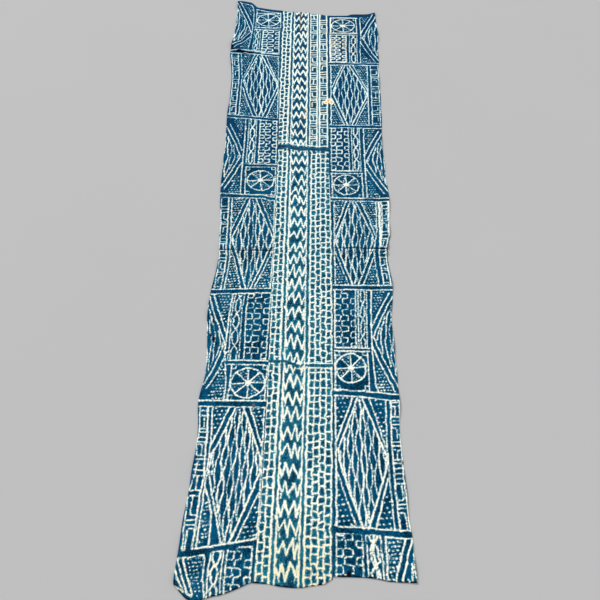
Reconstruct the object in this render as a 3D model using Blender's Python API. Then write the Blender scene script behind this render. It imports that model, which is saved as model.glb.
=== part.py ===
"""Ndop cloth: three hand-woven strips sewn edge to edge and laid out on a flat surface.

The cloth lies on z = 0 with its near end towards -Y and its far end towards +Y. The left and right
strips are single lengths. The centre strip is pieced from three lengths. Each piece is a thin closed
sheet whose underside is flat on the surface, except where a tuck, a crease, a join or a wavy selvedge
lifts it.
"""

import math
import random

import bmesh
import bpy

MM = 0.001

# The weave and the joins
CLOTH_THICKNESS = 2.0 * MM
PIECE_GAP = 0.3 * MM

# Spacing of the sheet's rows, away from the folds and on them
PLAIN_ROW_STEP = 40.0 * MM
FOLD_ROW_STEP = 6.0 * MM
SELVEDGE_ROW_STEP = 14.0 * MM

# How far in from each end the skew of its end line fades out
END_REACH = 420.0 * MM

# Where the columns of a sheet stand, as shares of the strip's width from its left edge
OUTER_STRIP_COLUMNS = (0.0, 0.05, 0.11, 0.18, 0.27, 0.38, 0.5, 0.62, 0.74, 0.86, 0.94, 1.0)
CENTRE_STRIP_COLUMNS = (0.0, 0.08, 0.18, 0.3, 0.42, 0.55, 0.68, 0.8, 0.91, 1.0)

# The small unevenness of the two outer selvedges
SELVEDGE_WANDER = 1.3 * MM
SELVEDGE_WAVE = 46.0 * MM
SELVEDGE_SEED = 7

# Moves the outline's numbers so that the cloth's box is centred on the origin
CENTRE_X = -4.8 * MM
CENTRE_Y = 954.9 * MM

# Side lines in millimetres, one row for each station along the cloth, from the near end
# along, left selvedge, left seam, right seam, right selvedge
SIDE_LINES = (
    (-10.0, -232.0, -84.0, 67.0, 230.0),
    (40.0, -234.0, -83.5, 67.5, 228.0),
    (90.0, -229.0, -80.0, 68.5, 226.0),
    (155.0, -225.5, -77.0, 70.0, 221.0),
    (235.0, -221.0, -74.5, 70.5, 216.5),
    (330.0, -217.0, -73.5, 71.0, 214.5),
    (405.0, -220.5, -73.0, 71.5, 216.5),
    (465.0, -213.0, -73.0, 72.0, 216.0),
    (550.0, -215.5, -73.0, 72.5, 212.0),
    (650.0, -223.0, -73.0, 73.5, 214.0),
    (735.0, -215.5, -73.5, 74.0, 218.0),
    (815.0, -209.5, -73.5, 74.5, 211.0),
    (850.0, -211.5, -73.5, 74.5, 211.0),
    (900.0, -213.5, -73.5, 74.0, 221.0),
    (1000.0, -218.0, -74.5, 71.0, 225.0),
    (1115.0, -224.0, -74.5, 68.0, 220.0),
    (1245.0, -222.5, -74.0, 68.0, 218.0),
    (1380.0, -225.0, -75.5, 69.0, 219.5),
    (1525.0, -224.5, -80.0, 69.0, 222.0),
    (1600.0, -231.5, -82.0, 68.5, 222.5),
    (1660.0, -236.0, -83.0, 68.0, 222.0),
    (1727.0, -233.0, -83.0, 67.5, 226.5),
    (1800.0, -227.5, -81.0, 67.5, 225.0),
    (1915.0, -229.0, -80.0, 68.0, 222.0),
)

# End lines in millimetres: share of the strip's width from its left edge, place along the cloth
NEAR_END_LEFT = (
    (0.0, 20.0),
    (0.08, 8.0),
    (0.16, -3.0),
    (0.26, -9.0),
    (0.4, -4.0),
    (0.5, 1.0),
    (0.6, 4.0),
    (0.8, 15.0),
    (1.0, 28.0),
)
NEAR_END_CENTRE = (
    (0.0, 27.0),
    (0.2, 25.0),
    (0.35, 21.0),
    (0.55, 19.0),
    (0.75, 23.0),
    (0.9, 27.0),
    (1.0, 36.0),
)
NEAR_END_RIGHT = ((0.0, 41.0), (0.4, 40.0), (0.55, 37.5), (0.66, 33.5), (1.0, 31.5))
FAR_END_LEFT = (
    (0.0, 1916.0),
    (0.07, 1919.0),
    (0.3, 1912.0),
    (0.37, 1900.0),
    (0.43, 1886.0),
    (0.55, 1881.0),
    (0.75, 1873.0),
    (1.0, 1868.0),
)
FAR_END_CENTRE = ((0.0, 1865.0), (0.3, 1861.0), (0.55, 1857.0), (0.8, 1850.0), (1.0, 1841.0))
FAR_END_RIGHT = ((0.0, 1842.0), (0.4, 1843.0), (0.5, 1850.0), (0.85, 1852.0), (1.0, 1857.0))

# Joins across the centre strip: share of its width, place along the cloth
JOIN_NEAR_MID = ((0.0, 518.0), (0.2, 516.0), (0.33, 510.0), (0.44, 504.0), (0.54, 506.0), (1.0, 508.0))
JOIN_MID_FAR = ((0.0, 1213.0), (0.2, 1209.0), (0.4, 1203.0), (0.7, 1203.0), (1.0, 1200.0))

# Folds in millimetres: start x and along, end x and along, lift at the start and at the end,
# reach on the near side and on the far side
FOLDS_LEFT = (
    ("far tuck", -241.0, 1680.0, -206.0, 1652.0, 9.0, 6.5, 7.0, 42.0),
    ("tail of the far tuck", -206.0, 1652.0, -112.0, 1646.0, 6.5, 0.5, 7.0, 38.0),
    ("near lip of the crease", -213.0, 834.0, -74.0, 834.0, 4.2, 2.2, 17.0, 9.0),
    ("far lip of the crease", -214.0, 850.0, -74.0, 850.0, 3.8, 2.0, 9.0, 18.0),
    ("corner pleat", -236.0, 29.0, -197.0, 0.0, 7.5, 2.5, 6.0, 24.0),
)
FOLDS_RIGHT = (
    ("near lip of the crease", 75.0, 845.0, 214.0, 842.0, 2.0, 4.4, 17.0, 9.0),
    ("far lip of the crease", 75.0, 861.0, 219.0, 858.0, 1.8, 4.0, 9.0, 18.0),
)
FOLDS_CENTRE = (
    ("diagonal wrinkle", -24.0, 1286.0, 7.0, 1404.0, 3.0, 3.4, 15.0, 15.0),
    ("lip of the far join, left", -74.0, 1215.0, -45.0, 1208.0, 4.5, 2.6, 10.0, 12.0),
    ("lip of the far join", -45.0, 1206.0, 66.0, 1202.0, 2.4, 1.8, 10.0, 10.0),
    ("lip of the near join", -73.0, 518.0, -26.0, 511.0, 1.8, 2.8, 10.0, 12.0),
    ("lip of the near join, right", -26.0, 509.0, 70.0, 507.0, 2.8, 1.6, 10.0, 10.0),
    ("crease", -72.0, 842.0, 72.0, 851.0, 1.2, 1.2, 14.0, 14.0),
)

# Wavy selvedges in millimetres: place along the cloth, half length, lift, reach inwards
WAVES_LEFT = (
    (92.0, 45.0, 3.5, 40.0),
    (268.0, 60.0, 2.6, 34.0),
    (452.0, 38.0, 3.2, 30.0),
    (655.0, 52.0, 3.4, 38.0),
    (800.0, 30.0, 3.0, 30.0),
    (1120.0, 70.0, 2.4, 34.0),
    (1395.0, 62.0, 2.6, 30.0),
    (1600.0, 38.0, 3.6, 42.0),
    (1795.0, 52.0, 3.0, 46.0),
    (1893.0, 40.0, 5.0, 52.0),
)
WAVES_RIGHT = (
    (58.0, 36.0, 3.4, 40.0),
    (196.0, 48.0, 2.4, 34.0),
    (412.0, 42.0, 3.4, 36.0),
    (560.0, 44.0, 2.2, 30.0),
    (742.0, 36.0, 3.2, 34.0),
    (915.0, 40.0, 3.6, 40.0),
    (1010.0, 46.0, 3.2, 36.0),
    (1250.0, 66.0, 2.2, 30.0),
    (1520.0, 58.0, 2.4, 34.0),
    (1735.0, 44.0, 3.2, 38.0),
    (1852.0, 34.0, 3.6, 44.0),
)

LEFT_SELVEDGE, LEFT_SEAM, RIGHT_SEAM, RIGHT_SELVEDGE = 1, 2, 3, 4

INDIGO = (0.035, 0.115, 0.235, 1.0)
FADED_INDIGO = (0.06, 0.2, 0.3, 1.0)
PALE_INDIGO = (0.11, 0.28, 0.37, 1.0)
COTTON_ROUGHNESS = 0.92


def clear_scene():
    """Removes every object that the scene starts with."""
    for thing in list(bpy.data.objects):
        bpy.data.objects.remove(thing, do_unlink=True)


def smooth_between(before, start, end, after, share):
    """Returns a value on the smooth curve from start to end, given the values on either side."""
    slope_start = (end - before) / 2.0
    slope_end = (after - start) / 2.0
    square, cube = share * share, share * share * share
    return (
        (2.0 * cube - 3.0 * square + 1.0) * start
        + (cube - 2.0 * square + share) * slope_start
        + (3.0 * square - 2.0 * cube) * end
        + (cube - square) * slope_end
    )


def read_line(table, place, column):
    """Reads a smooth curve through one column of a table whose first column is the place."""
    last = len(table) - 1
    place = min(max(place, table[0][0]), table[last][0])
    row = 0
    while row < last - 1 and table[row + 1][0] < place:
        row += 1
    start, end = table[row], table[row + 1]
    before, after = table[max(row - 1, 0)], table[min(row + 2, last)]
    share = (place - start[0]) / (end[0] - start[0])
    return smooth_between(before[column], start[column], end[column], after[column], share)


def selvedge_wander(side, along):
    """Returns the seeded small unevenness of an outer selvedge at a place along it."""
    offsets = random.Random(SELVEDGE_SEED + side)
    total = 0.0
    for octave in (1.0, 1.9, 3.1):
        phase = offsets.uniform(0.0, math.tau)
        total += math.sin(along / SELVEDGE_WAVE * octave + phase) / octave
    return SELVEDGE_WANDER * total


def side_line(side, along):
    """Returns the x of a selvedge or seam, in metres, at a place along the cloth."""
    x = read_line(SIDE_LINES, along / MM, side) * MM
    if side in (LEFT_SELVEDGE, RIGHT_SELVEDGE):
        x += selvedge_wander(side, along)
    return x


def bump(distance, reach):
    """Returns a smooth hill that is 1 at the middle and 0 at its reach and beyond."""
    share = abs(distance) / reach
    return (1.0 - share * share) ** 2 if share < 1.0 else 0.0


def fold_lift(folds, x, along):
    """Returns how far the creases, tucks and pleats lift the underside at a point."""
    lift = 0.0
    for _, start_x, start_y, end_x, end_y, start_lift, end_lift, near_reach, far_reach in folds:
        run_x, run_y = end_x - start_x, end_y - start_y
        length = math.hypot(run_x, run_y)
        run_x, run_y = run_x / length, run_y / length
        from_x, from_y = x / MM - start_x, along / MM - start_y
        down_line = from_x * run_x + from_y * run_y
        off_line = from_y * run_x - from_x * run_y
        reach = far_reach if off_line > 0.0 else near_reach
        past_end = max(-down_line, down_line - length, 0.0)
        share = min(max(down_line / length, 0.0), 1.0)
        height = start_lift + (end_lift - start_lift) * share
        lift = max(lift, height * bump(off_line, reach) * bump(past_end, far_reach))
    return lift * MM


def wave_lift(waves, from_selvedge, along):
    """Returns how far a wavy selvedge lifts the underside at a point."""
    lift = 0.0
    for centre, half_length, height, reach in waves:
        inwards = max(1.0 - from_selvedge / MM / reach, 0.0)
        lift = max(lift, height * bump(along / MM - centre, half_length) * inwards * inwards)
    return lift * MM


def row_places(near, far, folds, waves):
    """Returns the places along a strip where its rows stand, close together over its folds."""
    busy = []
    for _, _, start_y, _, end_y, _, _, near_reach, far_reach in folds:
        low = min(start_y, end_y) - near_reach
        high = max(start_y, end_y) + far_reach
        step = FOLD_ROW_STEP * max(1.0, (high - low) * MM / (12.0 * FOLD_ROW_STEP))
        busy.append((low * MM, high * MM, step))
    for centre, half_length, _, _ in waves:
        busy.append(((centre - half_length) * MM, (centre + half_length) * MM, SELVEDGE_ROW_STEP))
    places = [near]
    while places[-1] < far:
        here = places[-1]
        step = PLAIN_ROW_STEP
        for low, high, fine in busy:
            if low - fine < here < high:
                step = min(step, fine)
            elif here <= low - fine < here + step:
                step = low - here
        places.append(here + step)
    last_step = places[-1] - places[-2]
    overshoot = places[-1] - far
    if overshoot > 0.5 * last_step and len(places) > 2:
        places.pop()
    scale = (far - near) / (places[-1] - near)
    return [near + (place - near) * scale for place in places]


def shape_sheet(name, sides, ends, columns, folds, waves, gaps, colour):
    """Makes one cut piece of cloth as a closed sheet on the surface.

    sides holds the left and right line, ends the near and far line, gaps the near and far gap.
    """
    left_side, right_side = sides
    near_end, far_end = ends
    near_gap, far_gap = gaps
    near_middle = read_line(near_end, 0.5, 1) * MM + near_gap
    far_middle = read_line(far_end, 0.5, 1) * MM - far_gap
    rows = row_places(near_middle, far_middle, folds, waves)

    sheet = bmesh.new()
    bmesh.ops.create_grid(sheet, x_segments=len(columns) - 1, y_segments=len(rows) - 1, size=0.5)
    for vert in sheet.verts:
        across = columns[round((vert.co.x + 0.5) * (len(columns) - 1))]
        down = rows[round((vert.co.y + 0.5) * (len(rows) - 1))]
        # The two end lines bend the rows near them and leave the middle rows straight
        near_pull = 1.0 - min((down - near_middle) / END_REACH, 1.0)
        far_pull = 1.0 - min((far_middle - down) / END_REACH, 1.0)
        near_shift = read_line(near_end, across, 1) * MM + near_gap - near_middle
        far_shift = read_line(far_end, across, 1) * MM - far_gap - far_middle
        along = down + near_shift * near_pull**2 + far_shift * far_pull**2
        left = side_line(left_side, along)
        right = side_line(right_side, along)
        if left_side != LEFT_SELVEDGE:
            left += PIECE_GAP / 2.0
        if right_side != RIGHT_SELVEDGE:
            right -= PIECE_GAP / 2.0
        x = left + (right - left) * across
        from_selvedge = x - left if left_side == LEFT_SELVEDGE else right - x
        lift = max(fold_lift(folds, x, along), wave_lift(waves, from_selvedge, along))
        vert.co = (x - CENTRE_X, along - CENTRE_Y, lift)
    give_thickness(sheet)

    mesh = bpy.data.meshes.new(name)
    sheet.to_mesh(mesh)
    sheet.free()
    mesh.shade_smooth()
    mesh.set_sharp_from_angle(angle=math.radians(35.0))
    mesh.materials.append(dyed_cotton(name, colour))
    piece = bpy.data.objects.new(name, mesh)
    bpy.context.scene.collection.objects.link(piece)
    return piece


def give_thickness(sheet):
    """Turns the open underside into a closed sheet by raising a copy of it."""
    raised = bmesh.ops.extrude_face_region(sheet, geom=sheet.faces[:])
    top = [part for part in raised["geom"] if isinstance(part, bmesh.types.BMVert)]
    bmesh.ops.translate(sheet, vec=(0.0, 0.0, CLOTH_THICKNESS), verts=top)
    bmesh.ops.recalc_face_normals(sheet, faces=sheet.faces[:])


def dyed_cotton(name, colour):
    """Makes the plain indigo-dyed cotton of one piece."""
    cotton = bpy.data.materials.new(name + "_cotton")
    cotton.use_nodes = True
    shader = cotton.node_tree.nodes["Principled BSDF"]
    shader.inputs["Base Color"].default_value = colour
    shader.inputs["Roughness"].default_value = COTTON_ROUGHNESS
    shader.inputs["Metallic"].default_value = 0.0
    return cotton


def build_cloth():
    """Makes the five cut pieces of the cloth."""
    clear_scene()
    half_gap = PIECE_GAP / 2.0
    shape_sheet(
        "strip_left",
        (LEFT_SELVEDGE, LEFT_SEAM),
        (NEAR_END_LEFT, FAR_END_LEFT),
        OUTER_STRIP_COLUMNS,
        FOLDS_LEFT,
        WAVES_LEFT,
        (0.0, 0.0),
        INDIGO,
    )
    shape_sheet(
        "strip_right",
        (RIGHT_SEAM, RIGHT_SELVEDGE),
        (NEAR_END_RIGHT, FAR_END_RIGHT),
        tuple(1.0 - share for share in reversed(OUTER_STRIP_COLUMNS)),
        FOLDS_RIGHT,
        WAVES_RIGHT,
        (0.0, 0.0),
        INDIGO,
    )
    shape_sheet(
        "strip_centre_near",
        (LEFT_SEAM, RIGHT_SEAM),
        (NEAR_END_CENTRE, JOIN_NEAR_MID),
        CENTRE_STRIP_COLUMNS,
        FOLDS_CENTRE,
        (),
        (0.0, half_gap),
        FADED_INDIGO,
    )
    shape_sheet(
        "strip_centre_mid",
        (LEFT_SEAM, RIGHT_SEAM),
        (JOIN_NEAR_MID, JOIN_MID_FAR),
        CENTRE_STRIP_COLUMNS,
        FOLDS_CENTRE,
        (),
        (half_gap, half_gap),
        FADED_INDIGO,
    )
    shape_sheet(
        "strip_centre_far",
        (LEFT_SEAM, RIGHT_SEAM),
        (JOIN_MID_FAR, FAR_END_CENTRE),
        CENTRE_STRIP_COLUMNS,
        FOLDS_CENTRE,
        (),
        (half_gap, 0.0),
        PALE_INDIGO,
    )


build_cloth()
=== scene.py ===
"""Looks of the ndop cloth: five dyed cotton sheets sewn together, their threads, a pale floor and a camera.

Every sheet is a closed thin cloth on its solid's folds. The undyed pattern is charted in millimetres,
as strokes that a maker would have tied off with thread before the dye bath. Each point of a sheet carries
its distance to the nearest stroke, and the cotton material turns that distance into dyed and undyed cloth.
"""

import math
import random

import bmesh
import bpy
import numpy as np
from bpy.props import FloatProperty, FloatVectorProperty, PointerProperty
from mathutils import Matrix, Vector


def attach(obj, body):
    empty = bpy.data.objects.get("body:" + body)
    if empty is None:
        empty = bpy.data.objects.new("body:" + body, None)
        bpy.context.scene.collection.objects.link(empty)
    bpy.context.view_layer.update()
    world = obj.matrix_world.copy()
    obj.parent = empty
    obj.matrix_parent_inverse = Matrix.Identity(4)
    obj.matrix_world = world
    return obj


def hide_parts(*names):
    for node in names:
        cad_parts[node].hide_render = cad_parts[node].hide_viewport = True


bl_info = {
    "name": "Ndop Cloth",
    "version": (1, 0, 0),
    "blender": (4, 5, 0),
    "location": "View3D > Sidebar > Ndop Cloth",
    "description": "Dyed looks for a cloth of three hand-woven strips",
    "category": "Object",
}

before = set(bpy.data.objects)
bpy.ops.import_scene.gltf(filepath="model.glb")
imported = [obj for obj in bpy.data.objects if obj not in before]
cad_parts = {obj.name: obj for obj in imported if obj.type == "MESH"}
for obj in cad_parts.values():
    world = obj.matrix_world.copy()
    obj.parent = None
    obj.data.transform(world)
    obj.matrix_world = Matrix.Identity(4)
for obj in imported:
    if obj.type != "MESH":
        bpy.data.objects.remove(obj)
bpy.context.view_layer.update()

MM = 0.001

# The outline, joins and folds repeat the solids' own tables, in millimetres.
# The chart's place along the cloth starts at the near end, and its x at the middle of the centre strip.
CENTRE_X = -4.8
CENTRE_Y = 954.9
PIECE_GAP = 0.3
END_REACH = 420.0
SELVEDGE_WANDER = 1.3
SELVEDGE_WAVE = 46.0
SELVEDGE_SEED = 7

# Width of a strip in its chart
STRIP_WIDTH = 152.0

# along, left selvedge, left seam, right seam, right selvedge
SIDE_LINES = (
    (-10.0, -232.0, -84.0, 67.0, 230.0),
    (40.0, -234.0, -83.5, 67.5, 228.0),
    (90.0, -229.0, -80.0, 68.5, 226.0),
    (155.0, -225.5, -77.0, 70.0, 221.0),
    (235.0, -221.0, -74.5, 70.5, 216.5),
    (330.0, -217.0, -73.5, 71.0, 214.5),
    (405.0, -220.5, -73.0, 71.5, 216.5),
    (465.0, -213.0, -73.0, 72.0, 216.0),
    (550.0, -215.5, -73.0, 72.5, 212.0),
    (650.0, -223.0, -73.0, 73.5, 214.0),
    (735.0, -215.5, -73.5, 74.0, 218.0),
    (815.0, -209.5, -73.5, 74.5, 211.0),
    (850.0, -211.5, -73.5, 74.5, 211.0),
    (900.0, -213.5, -73.5, 74.0, 221.0),
    (1000.0, -218.0, -74.5, 71.0, 225.0),
    (1115.0, -224.0, -74.5, 68.0, 220.0),
    (1245.0, -222.5, -74.0, 68.0, 218.0),
    (1380.0, -225.0, -75.5, 69.0, 219.5),
    (1525.0, -224.5, -80.0, 69.0, 222.0),
    (1600.0, -231.5, -82.0, 68.5, 222.5),
    (1660.0, -236.0, -83.0, 68.0, 222.0),
    (1727.0, -233.0, -83.0, 67.5, 226.5),
    (1800.0, -227.5, -81.0, 67.5, 225.0),
    (1915.0, -229.0, -80.0, 68.0, 222.0),
)
LEFT_SELVEDGE, LEFT_SEAM, RIGHT_SEAM, RIGHT_SELVEDGE = 1, 2, 3, 4

# End lines: share of the strip's width from its left edge, place along the cloth
NEAR_END_LEFT = (
    (0.0, 20.0),
    (0.08, 8.0),
    (0.16, -3.0),
    (0.26, -9.0),
    (0.4, -4.0),
    (0.5, 1.0),
    (0.6, 4.0),
    (0.8, 15.0),
    (1.0, 28.0),
)
NEAR_END_CENTRE = (
    (0.0, 27.0),
    (0.2, 25.0),
    (0.35, 21.0),
    (0.55, 19.0),
    (0.75, 23.0),
    (0.9, 27.0),
    (1.0, 36.0),
)
NEAR_END_RIGHT = ((0.0, 41.0), (0.4, 40.0), (0.55, 37.5), (0.66, 33.5), (1.0, 31.5))
FAR_END_LEFT = (
    (0.0, 1916.0),
    (0.07, 1919.0),
    (0.3, 1912.0),
    (0.37, 1900.0),
    (0.43, 1886.0),
    (0.55, 1881.0),
    (0.75, 1873.0),
    (1.0, 1868.0),
)
FAR_END_CENTRE = ((0.0, 1865.0), (0.3, 1861.0), (0.55, 1857.0), (0.8, 1850.0), (1.0, 1841.0))
FAR_END_RIGHT = ((0.0, 1842.0), (0.4, 1843.0), (0.5, 1850.0), (0.85, 1852.0), (1.0, 1857.0))
JOIN_NEAR_MID = ((0.0, 518.0), (0.2, 516.0), (0.33, 510.0), (0.44, 504.0), (0.54, 506.0), (1.0, 508.0))
JOIN_MID_FAR = ((0.0, 1213.0), (0.2, 1209.0), (0.4, 1203.0), (0.7, 1203.0), (1.0, 1200.0))

# Folds: start x and along, end x and along, lift at the start and at the end,
# reach on the near side and on the far side
FOLDS_LEFT = (
    ("far tuck", -241.0, 1680.0, -206.0, 1652.0, 9.0, 6.5, 7.0, 42.0),
    ("tail of the far tuck", -206.0, 1652.0, -112.0, 1646.0, 6.5, 0.5, 7.0, 38.0),
    ("near lip of the crease", -213.0, 834.0, -74.0, 834.0, 4.2, 2.2, 17.0, 9.0),
    ("far lip of the crease", -214.0, 850.0, -74.0, 850.0, 3.8, 2.0, 9.0, 18.0),
    ("corner pleat", -236.0, 29.0, -197.0, 0.0, 7.5, 2.5, 6.0, 24.0),
)
FOLDS_RIGHT = (
    ("near lip of the crease", 75.0, 845.0, 214.0, 842.0, 2.0, 4.4, 17.0, 9.0),
    ("far lip of the crease", 75.0, 861.0, 219.0, 858.0, 1.8, 4.0, 9.0, 18.0),
)
FOLDS_CENTRE = (
    ("diagonal wrinkle", -24.0, 1286.0, 7.0, 1404.0, 3.0, 3.4, 15.0, 15.0),
    ("lip of the far join, left", -74.0, 1215.0, -45.0, 1208.0, 4.5, 2.6, 10.0, 12.0),
    ("lip of the far join", -45.0, 1206.0, 66.0, 1202.0, 2.4, 1.8, 10.0, 10.0),
    ("lip of the near join", -73.0, 518.0, -26.0, 511.0, 1.8, 2.8, 10.0, 12.0),
    ("lip of the near join, right", -26.0, 509.0, 70.0, 507.0, 2.8, 1.6, 10.0, 10.0),
    ("crease", -72.0, 842.0, 72.0, 851.0, 1.2, 1.2, 14.0, 14.0),
)

# Wavy selvedges: place along the cloth, half length, lift, reach inwards
WAVES_LEFT = (
    (92.0, 45.0, 3.5, 40.0),
    (268.0, 60.0, 2.6, 34.0),
    (452.0, 38.0, 3.2, 30.0),
    (655.0, 52.0, 3.4, 38.0),
    (800.0, 30.0, 3.0, 30.0),
    (1120.0, 70.0, 2.4, 34.0),
    (1395.0, 62.0, 2.6, 30.0),
    (1600.0, 38.0, 3.6, 42.0),
    (1795.0, 52.0, 3.0, 46.0),
    (1893.0, 40.0, 5.0, 52.0),
)
WAVES_RIGHT = (
    (58.0, 36.0, 3.4, 40.0),
    (196.0, 48.0, 2.4, 34.0),
    (412.0, 42.0, 3.4, 36.0),
    (560.0, 44.0, 2.2, 30.0),
    (742.0, 36.0, 3.2, 34.0),
    (915.0, 40.0, 3.6, 40.0),
    (1010.0, 46.0, 3.2, 36.0),
    (1250.0, 66.0, 2.2, 30.0),
    (1520.0, 58.0, 2.4, 34.0),
    (1735.0, 44.0, 3.2, 38.0),
    (1852.0, 34.0, 3.6, 44.0),
)

# Widths of strokes in millimetres
LINE = 4.1
FINE_LINE = 3.4
DOT = 4.0
STRIPE = 9.0
# A tied dot is a stroke as long as this share of its size, to each side
DOT_HALF_LENGTH = 0.16
# How far from a stroke its distance is worked out, and the distance that stands for all beyond
STROKE_REACH = 7.0
FAR_FROM_STROKES = 14.0
# Place along from which strokes are as fine as they get
FINEST_FROM = 900.0
# Rows of dots: pitch across and along, smallest distance to the edge
DOT_PITCH = (7.2, 8.0)
DOT_MARGIN = 2.4
# Nets: length of a dyed cell, distance between the points of a line, smallest distance to the edge
NET_CELL = 76.0
NET_STEP = 6.0
NET_MARGIN = 2.4
# Half lozenges: distance between the two outlines
LOZENGE_GAP = 9.0
# Mazes: places of the winding line's bends and reach of the loops from the left and right, as shares
MAZE_BENDS = (0.35, 0.62)
MAZE_LOOPS = (0.27, 0.23)
# Twists: how far the strands stay from the border lines, distance between their points
TWIST_MARGIN = 5.7
TWIST_STEP = 4.5
# Noise fields: waves in an octave, how much finer and fainter each octave is, what their sum is divided by
NOISE_WAVES = 5
NOISE_FINER = 1.9
NOISE_FAINTER = 1.8
NOISE_SUM = 4.0


def screen_colour(red, green, blue):
    """Turns a colour as seen on a screen, 0 to 255, into the linear one that a shader takes."""
    shares = [value / 255.0 for value in (red, green, blue)]
    return tuple(s / 12.92 if s <= 0.04045 else ((s + 0.055) / 1.055) ** 2.4 for s in shares)


def read_line(table, place, column=1):
    """Reads a smooth curve through one column of a table, at one place or at many."""
    keys = np.array([row[0] for row in table])
    values = np.array([row[column] for row in table])
    last = len(keys) - 1
    place = np.clip(place, keys[0], keys[-1])
    row = np.clip(np.searchsorted(keys, place) - 1, 0, last - 1)
    share = (place - keys[row]) / (keys[row + 1] - keys[row])
    start, end = values[row], values[row + 1]
    slope_start = (end - values[np.maximum(row - 1, 0)]) / 2.0
    slope_end = (values[np.minimum(row + 2, last)] - start) / 2.0
    square, cube = share**2, share**3
    return (
        (2.0 * cube - 3.0 * square + 1.0) * start
        + (cube - 2.0 * square + share) * slope_start
        + (3.0 * square - 2.0 * cube) * end
        + (cube - square) * slope_end
    )


def side_line(side, along):
    """Returns the x of a selvedge or seam at places along the cloth."""
    x = read_line(SIDE_LINES, along, side)
    if side in (LEFT_SELVEDGE, RIGHT_SELVEDGE):
        offsets = random.Random(SELVEDGE_SEED + side)
        for octave in (1.0, 1.9, 3.1):
            phase = offsets.uniform(0.0, math.tau)
            x = x + SELVEDGE_WANDER * np.sin(along / SELVEDGE_WAVE * octave + phase) / octave
    return x


def bump(distance, reach):
    """Returns a smooth hill that is 1 at the middle and 0 at its reach and beyond."""
    share = np.minimum(np.abs(distance) / reach, 1.0)
    return (1.0 - share * share) ** 2


def fold_lift(folds, x, along):
    """Returns how far the creases, tucks and pleats lift the underside."""
    lift = np.zeros_like(x)
    for _, start_x, start_y, end_x, end_y, start_lift, end_lift, near_reach, far_reach in folds:
        run_x, run_y = end_x - start_x, end_y - start_y
        length = math.hypot(run_x, run_y)
        run_x, run_y = run_x / length, run_y / length
        from_x, from_y = x - start_x, along - start_y
        down_line = from_x * run_x + from_y * run_y
        off_line = from_y * run_x - from_x * run_y
        reach = np.where(off_line > 0.0, far_reach, near_reach)
        past_end = np.maximum(np.maximum(-down_line, down_line - length), 0.0)
        share = np.clip(down_line / length, 0.0, 1.0)
        height = start_lift + (end_lift - start_lift) * share
        lift = np.maximum(lift, height * bump(off_line, reach) * bump(past_end, far_reach))
    return lift


def wave_lift(waves, from_selvedge, along):
    """Returns how far a wavy selvedge lifts the underside."""
    lift = np.zeros_like(along)
    for centre, half_length, height, reach in waves:
        inwards = np.maximum(1.0 - from_selvedge / reach, 0.0)
        lift = np.maximum(lift, height * bump(along - centre, half_length) * inwards**2)
    return lift


def soft_noise(first, second, size, seed, octaves=3):
    """Returns a smooth uneven field between about -1 and 1, made of seeded waves in all directions."""
    turns = random.Random(seed)
    total = np.zeros_like(first)
    for octave in range(octaves):
        for _ in range(NOISE_WAVES):
            angle, phase = turns.uniform(0.0, math.tau), turns.uniform(0.0, math.tau)
            pitch = size * turns.uniform(0.75, 1.35) / NOISE_FINER**octave
            run = first * math.cos(angle) + second * math.sin(angle)
            total = total + np.sin(run * math.tau / pitch + phase) / NOISE_FAINTER**octave
    return total / NOISE_SUM


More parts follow.
